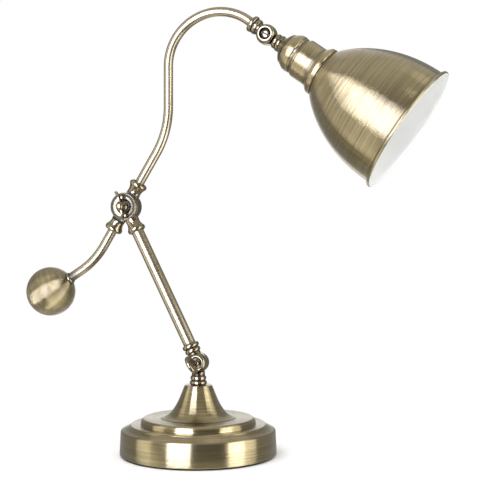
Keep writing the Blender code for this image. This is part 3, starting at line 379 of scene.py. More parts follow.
@dataclass(frozen=True)
class CastBrass:
    """Polished cast brass: bright on its crowns, nearly black in its grooves from patina and painted shade.
    """

    name: str = "antique_brass_cast"
    bright: tuple = colour(0.38, 0.324, 0.21)
    deep: tuple = colour(0.25, 0.207, 0.125)
    # near-black patina, also the colour that recesses, grooves and gaps take as painted shade
    patina: tuple = colour(0.018, 0.02, 0.016)
    roughness: float = 0.19
    slot: str = "cast_brass"

    def make(self) -> bpy.types.Material:
        """Builds the material, which reads the attributes recess, stain and edge.

        Returns:
            The material.
        """
        paint = Paint(self.name)
        place = paint.place()
        cloud, swell = paint.noise(place, 90.0), paint.noise(place, 160.0, 1.0)
        # painted shade with patina: deep points (recess, with some noise) and the painted mask turn towards
        # the patina colour, rougher
        dark = (paint.carried("recess") + (cloud - 0.5) * 0.12).ramp(0.3, 0.72)
        dark = dark.larger(paint.carried("patina_shade_mask"))

        tone = (cloud * 0.9 + paint.carried("edge") * 0.6).ramp(0.3, 0.9)
        metal = paint.blend(dark, paint.blend(tone, self.deep, self.bright), self.patina)
        rough = self.roughness + (cloud - 0.5) * 0.1 + dark * 0.14
        return paint.finish({"Base Color": metal, "Metallic": 1.0 - dark * 0.1, "Roughness": rough,
                             "Normal": paint.bump(swell, 0.12), "Coat Weight": 0.15 - dark * 0.15,
                             "Coat Roughness": 0.1})


@dataclass(frozen=True)
class Enamel:
    """Sprayed white enamel with a slight orange peel."""

    name: str = "white_enamel_sprayed"
    paint_colour: tuple = colour(0.93, 0.93, 0.915)
    shadow: tuple = colour(0.84, 0.835, 0.80)
    roughness: float = 0.36
    slot: str = "white_enamel"

    def make(self) -> bpy.types.Material:
        """Builds the material, which reads the attribute recess.

        Returns:
            The material.
        """
        paint = Paint(self.name)
        place = paint.place()
        peel, cloud = paint.noise(place, 620.0), paint.noise(place, 30.0)
        dark = paint.carried("recess").ramp(0.35, 1.0)
        tint = paint.blend(((cloud - 0.5) * 0.5 + dark * 0.7).clamped(), self.paint_colour, self.shadow)
        return paint.finish({"Base Color": tint, "Roughness": self.roughness + (cloud - 0.5) * 0.1,
                             "Normal": paint.bump(peel, 0.12)})


@dataclass(frozen=True)
class Grained:
    """Plain material with its own fine grain, for felt, fibre, rubber, porcelain, steel and iron."""

    name: str
    slot: str
    light: tuple
    dark: tuple
    roughness: float
    metallic: float = 0.0
    grain: float = 700.0
    depth: float = 0.25

    def make(self) -> bpy.types.Material:
        """Builds the material.

        Returns:
            The material.
        """
        paint = Paint(self.name)
        place = paint.place()
        speck, cloud = paint.noise(place, self.grain, 3.0, 0.6), paint.noise(place, self.grain / 9.0)
        tint = paint.blend((speck * 0.6 + cloud * 0.7).ramp(0.35, 0.95), self.dark, self.light)
        return paint.finish({"Base Color": tint, "Metallic": self.metallic,
                             "Normal": paint.bump(speck, self.depth, 0.0003),
                             "Roughness": self.roughness + (cloud - 0.5) * 0.12})


class Look(Enum):
    """Finishes of the lamp's pieces."""

    BRASS = BrushedBrass()
    SHADE = BrushedBrass("antique_brass_shade", colour(0.50, 0.415, 0.235), roughness=0.14, throw=1.0,
                         lines=11.0, streaks=15.0)
    BALL = BrushedBrass("antique_brass_ball", roughness=0.12, throw=1.9, lines=8.0)
    SPUN = BrushedBrass("antique_brass_spun", colour(0.53, 0.435, 0.24), colour(0.36, 0.29, 0.15),
                        roughness=0.2, throw=0.9, lines=10.0)
    TUBE = BrushedBrass("antique_brass_tube", colour(0.45, 0.385, 0.25), colour(0.36, 0.3, 0.185),
                        roughness=0.28, throw=0.0, streaks=0.2)
    CAST = CastBrass()
    ENAMEL = Enamel()
    FELT = Grained("felt_black", "felt", colour(0.035, 0.033, 0.03), colour(0.008, 0.008, 0.008), 0.95,
                   grain=1400.0, depth=0.8)
    FIBRE = Grained("fibre_dark", "fibre", colour(0.10, 0.07, 0.05), colour(0.05, 0.035, 0.025), 0.8)
    RUBBER = Grained("rubber_black", "rubber", colour(0.04, 0.036, 0.032), colour(0.02, 0.018, 0.016), 0.62,
                     depth=0.12)
    PORCELAIN = Grained("porcelain_glazed", "porcelain", colour(0.86, 0.85, 0.80),
                        colour(0.78, 0.77, 0.71), 0.22, grain=90.0, depth=0.05)
    STEEL = Grained("zinc_plated_steel", "zinc_steel", colour(0.60, 0.60, 0.58), colour(0.38, 0.38, 0.37),
                    0.34, metallic=1.0, grain=500.0, depth=0.15)
    # steel left dark for the spring washer in the hub's pocket
    DARK_STEEL = Grained("zinc_steel_dark", "zinc_steel", colour(0.10, 0.10, 0.095),
                         colour(0.03, 0.03, 0.03), 0.5, metallic=1.0, grain=500.0, depth=0.15)
    IRON = Grained("cast_iron_raw", "cast_iron", colour(0.10, 0.10, 0.10), colour(0.04, 0.04, 0.04), 0.7,
                   metallic=0.6, grain=300.0, depth=0.6)


# Shapes -------------------------------------------------------------------------------------------
def lean(angle: float) -> Vector:
    """Direction in the arm plane, that many degrees from upright towards +X."""
    return Vector((math.sin(math.radians(angle)), 0.0, math.cos(math.radians(angle))))


def seat(centre: Vector, axis: Vector) -> Matrix:
    """Frame whose Z runs along an axis from a centre in millimetres; its own unit is the metre."""
    return Matrix.Translation(centre * MM) @ axis.to_track_quat("Z", "Y").to_matrix().to_4x4()


def arc(centre: Point, radius: float, start: float, end: float, count: int = 9,
        height: float | None = None, power: float = 1.0) -> list[Point]:
    """Points of an outline on a circle or an ellipse.

    Args:
        centre: its centre (r, z).
        radius: its reach along r.
        start: first angle, from +r towards +z.
        end: last angle.
        count: points.
        height: its reach along z, or none for a circle.
        power: below 1 it makes the ellipse squarer.

    Returns:
        The points.
    """
    tall = radius if height is None else height
    turns = [math.radians(start + (end - start) * i / (count - 1)) for i in range(count)]
    if power == 1.0:
        return [(centre[0] + radius * math.cos(a), centre[1] + tall * math.sin(a)) for a in turns]
    return [(centre[0] + radius * math.cos(a) ** power, centre[1] + tall * math.sin(a)) for a in turns]


def bead(at: float, half: float, crest: float, root: float, count: int = 17) -> list[Point]:
    """Rounded ring of an outline.

    Args:
        at: height of its crest.
        half: half its width.
        crest: radius of the crest.
        root: radius at its two feet.
        count: points.

    Returns:
        The outline's points, upwards.
    """
    turns = [math.pi * i / (count - 1) for i in range(count)]
    return [(root + (crest - root) * math.sin(a) ** 0.7, at - half * math.cos(a)) for a in turns]


def eased(corners: list[tuple], count: int = 5) -> list[Point]:
    """Outline whose marked corners are rounded.

    Args:
        corners: points (r, z), or (r, z, radius) where the corner is rounded.
        count: points on each rounding.

    Returns:
        The outline's points.
    """
    made: list[Point] = []
    for i, corner in enumerate(corners):
        here = Vector(corner[:2])
        if len(corner) < 3 or i in (0, len(corners) - 1):
            made.append((here.x, here.y))
            continue
        before, after = Vector(corners[i - 1][:2]) - here, Vector(corners[i + 1][:2]) - here
        reach = min(corner[2], before.length * 0.48, after.length * 0.48)
        first, last = here + before.normalized() * reach, here + after.normalized() * reach
        for k in range(count):
            t = k / (count - 1)
            spot = first * (1 - t) ** 2 + here * (2 * t * (1 - t)) + last * t ** 2
            made.append((spot.x, spot.y))
    return made


def linked(name: str, data: bpy.types.ID) -> bpy.types.Object:
    """Adds an object to the scene.

    Args:
        name: of the object.
        data: its mesh, camera or lamp.

    Returns:
        The object.
    """
    obj = bpy.data.objects.new(name, data)
    bpy.context.scene.collection.objects.link(obj)
    return obj


def settled(bm: bmesh.types.BMesh, name: str, mesh: bpy.types.Mesh | None = None) -> bpy.types.Mesh:
    """Writes a bmesh out and frees it.

    Args:
        bm: the shape.
        name: of a new mesh.
        mesh: mesh to write to in place of a new one.

    Returns:
        The mesh.
    """
    mesh = mesh or bpy.data.meshes.new(name)
    bm.to_mesh(mesh)
    bm.free()
    return mesh


def lathe(outline: list[Point], place: Matrix, steps: int = 96) -> bpy.types.Mesh:
    """Turned solid with the attributes that the finishes read.

    Args:
        outline: points (radius, height), closed off the axis or running from axis to axis.
        place: frame of its axis.
        steps: facets round the axis.

    Returns:
        The closed mesh, in place.
    """
    points = [p for i, p in enumerate(outline) if i == 0 or math.dist(p, outline[i - 1]) > NEAR]
    closed = min(points[0][0], points[-1][0]) > AXIS
    if closed and math.dist(points[0], points[-1]) < NEAR:
        points.pop()
    bm = bmesh.new()
    grain, lay = (bm.verts.layers.float_vector.new(name) for name in ("grain", "lay"))
    turn = place.to_3x3()
    rings, run = [], 0.0
    for i, (radius, height) in enumerate(points):
        run += math.dist(points[i - 1], (radius, height)) if i else 0.0
        before = points[i - 1] if i or closed else points[i]
        after = points[(i + 1) % len(points)] if i + 1 < len(points) or closed else points[i]
        slope = (Vector(after) - Vector(before)).normalized()
        ring = []
        for k in range(steps if radius > AXIS else 1):
            x, y = math.cos(2 * math.pi * k / steps), math.sin(2 * math.pi * k / steps)
            vert = bm.verts.new((radius * MM * x, radius * MM * y, height * MM))
            vert[grain] = (x, y, run / CM)
            vert[lay] = turn @ Vector((slope.x * x, slope.x * y, slope.y))
            ring.append(vert)
        rings.append(ring)
    for low, high in list(zip(rings, rings[1:])) + ([(rings[-1], rings[0])] if closed else []):
        for k in range(steps):
            n = k + 1
            corners = [low[k % len(low)], low[n % len(low)], high[n % len(high)], high[k % len(high)]]
            bm.faces.new(list(dict.fromkeys(corners)))
    bmesh.ops.recalc_face_normals(bm, faces=bm.faces)
    bm.transform(place)
    return settled(bm, "turned")


def paint_patina_shade(mesh: bpy.types.Mesh, *patina_shade_maps: tuple[Matrix, PatinaShadeMap]) -> bpy.types.Mesh:
    """Writes where patina and painted shade darken a mesh.

    Args:
        mesh: finished shape.
        patina_shade_maps: frames, each with how dark patina and painted shade make the surface at a radius
            and a height in it, from 0 to 1.

    Returns:
        The same mesh.
    """
    amounts = [0.0] * len(mesh.vertices)
    for place, patina_shade in patina_shade_maps:
        back = place.inverted()
        for i, vert in enumerate(mesh.vertices):
            spot = back @ vert.co / MM
            amounts[i] = max(amounts[i], patina_shade(math.hypot(spot.x, spot.y), spot.z))
    layer = mesh.attributes.new("patina_shade_mask", "FLOAT", "POINT")
    layer.data.foreach_set("value", amounts)
    return mesh


def drum(sides: int, radius: float, low: float, high: float, place: Matrix) -> bpy.types.Mesh:
    """Plain cylinder or prism between two heights, for cutting."""
    return lathe([(0, low), (radius, low), (radius, high), (0, high)], place, sides)


def plate(outline: list[Point], thickness: float, place: Matrix, edge: float) -> bpy.types.Mesh:
    """Flat plate with eased edges, its middle on the frame's XY plane.

    Args:
        outline: corners (x, y).
        thickness: size across.
        place: frame it lies in.
        edge: width of its edge rounding.

    Returns:
        The closed mesh, in place.
    """
    bm = bmesh.new()
    face = bm.faces.new([bm.verts.new((x * MM, y * MM, -thickness / 2 * MM)) for x, y in outline])
    raised = bmesh.ops.extrude_face_region(bm, geom=[face])["geom"]
    tops = [g for g in raised if isinstance(g, bmesh.types.BMVert)]
    bmesh.ops.translate(bm, verts=tops, vec=(0.0, 0.0, thickness * MM))
    bmesh.ops.recalc_face_normals(bm, faces=bm.faces)
    rims = [e for e in bm.edges if e.calc_face_angle(0.0) > math.radians(60.0)]
    bmesh.ops.bevel(bm, geom=rims, offset=edge * MM, segments=4, profile=0.5, affect="EDGES",
                    clamp_overlap=True)
    bm.transform(place)
    return settled(bm, "plate")


def slotted(mesh: bpy.types.Mesh, radius: float, half: float, place: Matrix) -> bpy.types.Mesh:
    """Cuts a screwdriver slot.

    Args:
        mesh: the screw.
        radius: of its head.
        half: half the slot's width.
        place: frame in the middle of the cutter, the slot along X.

    Returns:
        The slotted screw.
    """
    wide = radius + 1
    return cut(mesh, plate([(-wide, -half), (wide, -half), (wide, half), (-wide, half)], 3.0, place, 0.05))


def through(points: list[Point], parts: int, closed: bool) -> list[Point]:
    """Curve through points.

    Args:
        points: corners in order.
        parts: pieces between two corners.
        closed: whether the last corner joins the first.

    Returns:
        Points on the curve.
    """
    size, made = len(points), []
    for i in range(size if closed else size - 1):
        near = [(i + k) % size if closed else min(max(i + k, 0), size - 1) for k in (-1, 0, 1, 2)]
        a, b, c, d = (Vector(points[n]) for n in near)
        for k in range(parts):
            t = k / parts
            spot = 0.5 * ((2 * b) + (c - a) * t + (2 * a - 5 * b + 4 * c - d) * t ** 2
                          + (3 * b - a - 3 * c + d) * t ** 3)
            made.append((spot.x, spot.y))
    return made if closed else made + [points[-1]]


def bend(start: Vector, heading: float, radius: float, turn: float, count: int) -> list[Vector]:
    """Points after a start on an arc in the arm plane.

    Args:
        start: where the arc begins.
        heading: its direction there, in degrees from upright.
        radius: of the arc.
        turn: degrees, positive towards +X.
        count: points.

    Returns:
        The points, the start left out.
    """
    side = 1.0 if turn > 0 else -1.0
    centre = start + side * radius * lean(heading + 90.0)
    return [centre - side * radius * lean(heading + turn * i / count + 90.0) for i in range(1, count + 1)]


def plain_mesh(obj: bpy.types.Object) -> bpy.types.Mesh:
    """Takes the object's evaluated shape and removes the object.

    Args:
        obj: object with its modifiers.

    Returns:
        The shape as a mesh of its own.
    """
    bpy.context.view_layer.update()
    shape = obj.evaluated_get(bpy.context.evaluated_depsgraph_get())
    mesh = bpy.data.meshes.new_from_object(shape)
    bpy.data.objects.remove(obj, do_unlink=True)
    return mesh


def joined(first: bpy.types.Mesh, second: bpy.types.Mesh, how: Cut = Cut.UNION) -> bpy.types.Mesh:
    """Boolean of two closed meshes.

    Args:
        first: mesh that is changed.
        second: mesh that acts on it.
        how: union or difference.

    Returns:
        The result as a plain mesh.
    """
    stock, tool = linked("stock", first), linked("tool", second)
    step = stock.modifiers.new("cut", "BOOLEAN")
    step.operation, step.solver, step.object = how.value, "EXACT", tool
    mesh = plain_mesh(stock)
    bpy.data.objects.remove(tool, do_unlink=True)
    return mesh


def cut(mesh: bpy.types.Mesh, *tools: bpy.types.Mesh) -> bpy.types.Mesh:
    """Takes closed meshes away from another, one after another.

    Args:
        mesh: mesh that is cut.
        tools: what is taken away.

    Returns:
        The result as a plain mesh.
    """
    for tool in tools:
        mesh = joined(mesh, tool, Cut.DIFFERENCE)
    return mesh


# Geometry Nodes -----------------------------------------------------------------------------------
class Tree(Graph):
    """Geometry Nodes tree with named inputs, which ends in Realize Instances and Set Material."""

    def __init__(self, name: str, inputs: dict[str, tuple[str, object]]) -> None:
        """Starts the tree.

        Args:
            name: of the tree.
            inputs: socket type and default value by input name.
        """
        super().__init__(bpy.data.node_groups.new(name, "GeometryNodeTree"))
        face = self.tree.interface
        face.new_socket("Geometry", in_out="INPUT", socket_type="NodeSocketGeometry")
        for label, (kind, value) in inputs.items():
            face.new_socket(label, in_out="INPUT", socket_type=kind).default_value = value
        face.new_socket("Material", in_out="INPUT", socket_type="NodeSocketMaterial")
        face.new_socket("Geometry", in_out="OUTPUT", socket_type="NodeSocketGeometry")
        self.entry = self.node("NodeGroupInput")

    def given(self, label: str) -> Value:
        """One of the named inputs."""
        return Value(self, self.entry.outputs[label])

    def close(self, shape: bpy.types.NodeSocket) -> None:
        """Ends the tree on a shape.

        Args:
            shape: geometry to finish.
        """
        smooth = self.node("GeometryNodeSetShadeSmooth", None, {"Geometry": shape})
        real = self.node("GeometryNodeRealizeInstances", None, {"Geometry": smooth.outputs[0]})
        dressed = self.node("GeometryNodeSetMaterial", None,
                            {"Geometry": real.outputs[0], "Material": self.given("Material")})
        self.node("NodeGroupOutput", None, {0: dressed.outputs[0]})

    def run(self, seed: bpy.types.Mesh, values: dict[str, object]) -> bpy.types.Mesh:
        """Grows a mesh from the tree.

        Args:
            seed: mesh that the tree starts from.
            values: inputs by name.

        Returns:
            The grown mesh.
        """
        obj = linked("seed", seed)
        step = obj.modifiers.new("grow", "NODES")
        step.node_group = self.tree
        for item in self.tree.interface.items_tree:
            if item.in_out == "INPUT" and item.name in values:
                step[item.identifier] = values[item.name]
        return plain_mesh(obj)


class TubeTree(Tree):
    """Round rod along a line, which carries its direction and length for the brushed finish."""

    def __init__(self) -> None:
        """Builds the tree."""
        super().__init__("tube_along_line", {"Radius": ("NodeSocketFloat", 0.005),
                                             "Sides": ("NodeSocketInt", 48)})
        line = self.node("GeometryNodeMeshToCurve", None, {"Mesh": self.entry.outputs["Geometry"]})
        length = self.value("GeometryNodeSplineParameter", "Length")
        for name, value in (("lay", self.node("GeometryNodeInputTangent").outputs[0]),
                            ("grain", self.join(1.0, 0.0, length * (1.0 / (CM * MM))))):
            line = self.node("GeometryNodeStoreNamedAttribute",
                             {"data_type": "FLOAT_VECTOR", "domain": "POINT"},
                             {"Geometry": line.outputs[0], "Name": name, "Value": value})
        ring = self.node("GeometryNodeCurvePrimitiveCircle", {"mode": "RADIUS"},
                         {"Resolution": self.given("Sides"), "Radius": self.given("Radius")})
        skin = self.node("GeometryNodeCurveToMesh", None,
                         {"Curve": line.outputs[0], "Profile Curve": ring.outputs[0], "Fill Caps": True})
        self.close(skin.outputs[0])

    def rod(self, path: list[Vector], radius: float, material: bpy.types.Material,
            sides: int = 48) -> bpy.types.Mesh:
        """Makes one solid round rod.

        Args:
            path: its centreline.
            radius: of the rod.
            material: its finish.
            sides: facets round it.

        Returns:
            The rod, with closed ends.
        """
        line = bpy.data.meshes.new("line")
        line.from_pydata([p * MM for p in path], [(i, i + 1) for i in range(len(path) - 1)], [])
        mesh = self.run(line, {"Radius": radius * MM, "Sides": sides, "Material": material})
        bm = bmesh.new()
        bm.from_mesh(mesh)
        bmesh.ops.remove_doubles(bm, verts=bm.verts, dist=NEAR * MM)
        bmesh.ops.recalc_face_normals(bm, faces=bm.faces)
        return settled(bm, "rod", mesh)

    def tube(self, path: list[Vector], radius: float, wall: float,
             material: bpy.types.Material) -> bpy.types.Mesh:
        """Makes one open tube.

        Args:
            path: its centreline.
            radius: of its outside.
            wall: thickness of its wall.
            material: its finish.

        Returns:
            The tube.
        """
        longer = [path[0] + (path[0] - path[1]).normalized()] + path[1:-1]
        longer.append(path[-1] + (path[-1] - path[-2]).normalized())
        core = self.rod(longer, radius - wall, material, 20)
        return cut(self.rod(path, radius, material), core)


# Workshop -----------------------------------------------------------------------------------------
@dataclass
class Workshop:
    """Keeps the frame, the materials and the tube tree, and turns meshes into pieces of the lamp."""

    frame: dict
    materials: dict[Look, bpy.types.Material] = field(
        default_factory=lambda: {look: look.value.make() for look in Look})
    tubes: TubeTree = field(default_factory=TubeTree)
    made: dict[str, list[bpy.types.Object]] = field(default_factory=dict)

    def pivot(self, joint: str) -> Vector:
        """Centre of a joint of the frame, in millimetres."""
        found = next(j for j in self.frame["joints"] if j["name"] == joint)
        return Vector(found["pos_m"]) / MM

    def piece(self, name: str, mesh: bpy.types.Mesh, look: Look, body: Body, *nodes: str) -> None:
        """Finishes a mesh as a piece that rides on a body and stands for CAD nodes.

        Args:
            name: of the piece.
            mesh: its shape, in place.
            look: its finish.
            body: what it rides on.
            nodes: CAD nodes that it replaces.
        """
        mesh.name = name
        mesh.materials.clear()
        mesh.materials.append(self.materials[look])
        mesh.polygons.foreach_set("material_index", [0] * len(mesh.polygons))
        mesh.shade_smooth()
        mesh.set_sharp_from_angle(angle=SHARP)
        obj = linked(name, mesh)
        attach(obj, body.value)
        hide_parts(*nodes)
        self.made.setdefault(body.value, []).append(obj)
        LOG.info("%s rides on %s, %d faces", name, body.value, len(mesh.polygons))

    def tube(self, name: str, path: list[Vector], radius: float, wall: float, body: Body,
             node: str) -> None:
        """Makes a piece of drawn tube, or of rod when its wall is 0.

        Args:
            name: of the piece.
            path: its centreline.
            radius: of its outside.
            wall: thickness of its wall.
            body: what it rides on.
            node: CAD node that it replaces.
        """
        material = self.materials[Look.TUBE]
        mesh = (self.tubes.tube(path, radius, wall, material) if wall
                else self.tubes.rod(path, radius, material))
        self.piece(name, mesh, Look.TUBE, body, node)

    def washer(self, name: str, node: str, centre: Vector, body: Body) -> None:
        """Makes the thin fibre washer between the two halves of a knuckle.

        Args:
            name: of the piece.
            node: CAD node that it replaces.
            centre: of the knuckle.
            body: what it rides on.
        """
        outline = [(2.2, -0.25), (8.8, -0.25), (8.8, 0.25), (2.2, 0.25)]
        self.piece(name, lathe(outline, seat(centre, FRONT), 64), Look.FIBRE, body, node)

    def dress(self, look: Look, *nodes: str) -> None:
        """Gives CAD nodes that stay a better finish.

        Args:
            look: the finish.
            nodes: names of the nodes.
        """
        for node in nodes:
            for place in self.frame["nodes"][node].material_slots:
                place.material = self.materials[look]
            LOG.info("%s keeps its shape in %s", node, look.value.name)

    def wear(self) -> None:
        """Paints how sheltered each point is, which the finishes show as painted shade with patina, and how
        exposed it is, which they show as brighter rubbed edges, among the pieces of its own body.
        """
        for body, objects in self.made.items():
            shelter = Shelter(objects)
            for obj in objects:
                shelter.paint(obj.data)
            LOG.info("wear painted on %s", body)


class Shelter:
    """Rays that tell how deep a point lies among the pieces of one body; the finishes darken deep points as
    painted shade with patina.
    """

    REACH = 0.0042               # metres
    LIFT = 4e-5                  # metres that a ray starts off the surface
    RAYS = 18
    SPREAD = 0.92                # how far the rays lean out, 1 being level with the surface

    def __init__(self, objects: list[bpy.types.Object]) -> None:
        """Collects the faces of all the pieces and lays out the rays.

        Args:
            objects: pieces of one body.
        """
        verts, faces = [], []
        for obj in objects:
            start = len(verts)
            verts += [v.co.copy() for v in obj.data.vertices]
            faces += [[start + i for i in p.vertices] for p in obj.data.polygons]
        self.tree = BVHTree.FromPolygons(verts, faces)
        golden = math.pi * (3.0 - math.sqrt(5.0))
        self.fan = []
        for i in range(self.RAYS):
            height = 1.0 - (i + 0.5) / self.RAYS * self.SPREAD
            flat = math.sqrt(1.0 - height * height)
            self.fan.append(Vector((flat * math.cos(golden * i), flat * math.sin(golden * i), height)))

    def depth(self, spot: Vector, normal: Vector) -> float:
        """Share of the sky that near surfaces cover.

        Args:
            spot: point on a surface.
            normal: which way it faces.

        Returns:
            The share, from 0 to 1.
        """
        turn = normal.to_track_quat("Z", "Y").to_matrix()
        start = spot + normal * self.LIFT
        covered = 0.0
        for ray in self.fan:
            hit = self.tree.ray_cast(start, turn @ ray, self.REACH)
            if hit[0] is not None:
                covered += 1.0 - hit[3] / self.REACH * 0.5
        return min(covered / self.RAYS * 1.35, 1.0)

    def paint(self, mesh: bpy.types.Mesh) -> None:
        """Writes the recess and edge attributes of a mesh.

        Args:
            mesh: one of the pieces.
        """
        normals = [v.normal.copy() for v in mesh.vertices]
        bulge, links = [0.0] * len(normals), [0] * len(normals)
        ends = [tuple(edge.vertices) for edge in mesh.edges]
        for a, b in ends:
            way = mesh.vertices[b].co - mesh.vertices[a].co
            if way.length < 1e-7:
                continue
            way.normalize()
            bulge[a] -= normals[a].dot(way)
            bulge[b] += normals[b].dot(way)
            links[a] += 1
            links[b] += 1
        recess = [self.depth(v.co, n) if n.length > 0.5 else 0.0 for v, n in zip(mesh.vertices, normals)]
        for _ in range(2):
            near = recess[:]
            for a, b in ends:
                near[a] += recess[b]
                near[b] += recess[a]
            recess = [x / (n + 1) for x, n in zip(near, links)]
        edge = [max(x / max(n, 1), 0.0) for x, n in zip(bulge, links)]
        for name, values in (("recess", recess), ("edge", edge)):
            layer = mesh.attributes.get(name) or mesh.attributes.new(name, "FLOAT", "POINT")
            layer.data.foreach_set("value", values)


# Sub-assemblies -----------------------------------------------------------------------------------
@dataclass(frozen=True)
class Ring:
    """One rounded ring on a neck: distance from the hinge, radius and width."""

    at: float
    radius: float
    width: float

    @property
    def face(self) -> float:
        """Distance of its far side from the hinge."""
        return self.at + self.width / 2


INNER = Ring(13.1, 8.0, 3.9)  # rings of the two knuckles that end an arm
OUTER = Ring(17.9, 8.7, 4.3)


@dataclass
class BallKnuckle:
    """One half of a ball knuckle with its ringed neck."""

    shop: Workshop
    name: str
    node: str
    body: Body
    centre: Vector
    side: Vector
    axis: Vector
    inner: Ring
    outer: Ring
    tail: list[Point]
    root: float = 6.6
    radius: float = 10.0
    depth: float = 9.0
    band: float = 2.6
    face: float = 0.55           # half the fibre washer and the gap to it
    recess: float = 5.7
    floor: float = 4.6
    hole: float = 2.2

    def half(self) -> bpy.types.Mesh:
        """The half ball with its screw recess.

        Returns:
            The closed mesh.
        """
        rim = self.recess + 1.0
        outline = eased([(self.hole, self.floor), (self.recess, self.floor, 0.8),
                         (self.recess + 0.1, self.depth, 0.5), (rim - 0.1, self.depth)])
        outline += arc((rim, self.band), self.radius - rim, 90, 0, 16, self.depth - self.band)
        outline += [(self.radius, self.face + 0.4), (self.radius - 0.12, self.face + 0.12),
                    (self.radius - 0.4, self.face), (self.hole, self.face)]
        return lathe(outline, seat(self.centre, self.side), 72)

    def neck(self) -> bpy.types.Mesh:
        """The neck with its two rings, cut clear of the other half and of the screw.

        Returns:
            The closed mesh.
        """
        outline = [(0, self.radius * 0.35), (self.root, self.radius * 0.35),
                   (self.root, self.inner.at - self.inner.width / 2 - 0.3)]
        for ring in (self.inner, self.outer):
            outline += bead(ring.at, ring.width / 2, ring.radius, self.root + 0.3)
        place = seat(self.centre, self.side)
        return cut(lathe(outline + self.tail, seat(self.centre, self.axis), 64),
                   drum(72, self.radius + 0.6, -self.radius - 5, self.face + 0.2, place),
                   drum(48, self.recess + 0.4, 0, self.radius + 9, place))

    def recess_patina_shade(self, radius: float, height: float) -> float:
        """Painted shade on the wall and the floor of the screw recess."""
        inside = radius < self.recess + 0.08 and self.floor - 0.1 < height < self.depth - 0.6
        return 0.75 if inside else 0.0

    def neck_patina_shade(self, radius: float, height: float) -> float:
        """Patina and painted shade in the grooves of the neck."""
        groove = radius < self.root + 0.7 and self.radius + 0.2 < height < self.outer.face + 0.2
        return 0.9 if groove else 0.0

    def build(self) -> None:
        """Builds the piece."""
        mesh = paint_patina_shade(joined(self.half(), self.neck()), (seat(self.centre, self.axis), self.neck_patina_shade),
                       (seat(self.centre, self.side), self.recess_patina_shade))
        self.shop.piece(self.name, mesh, Look.CAST, self.body, self.node)


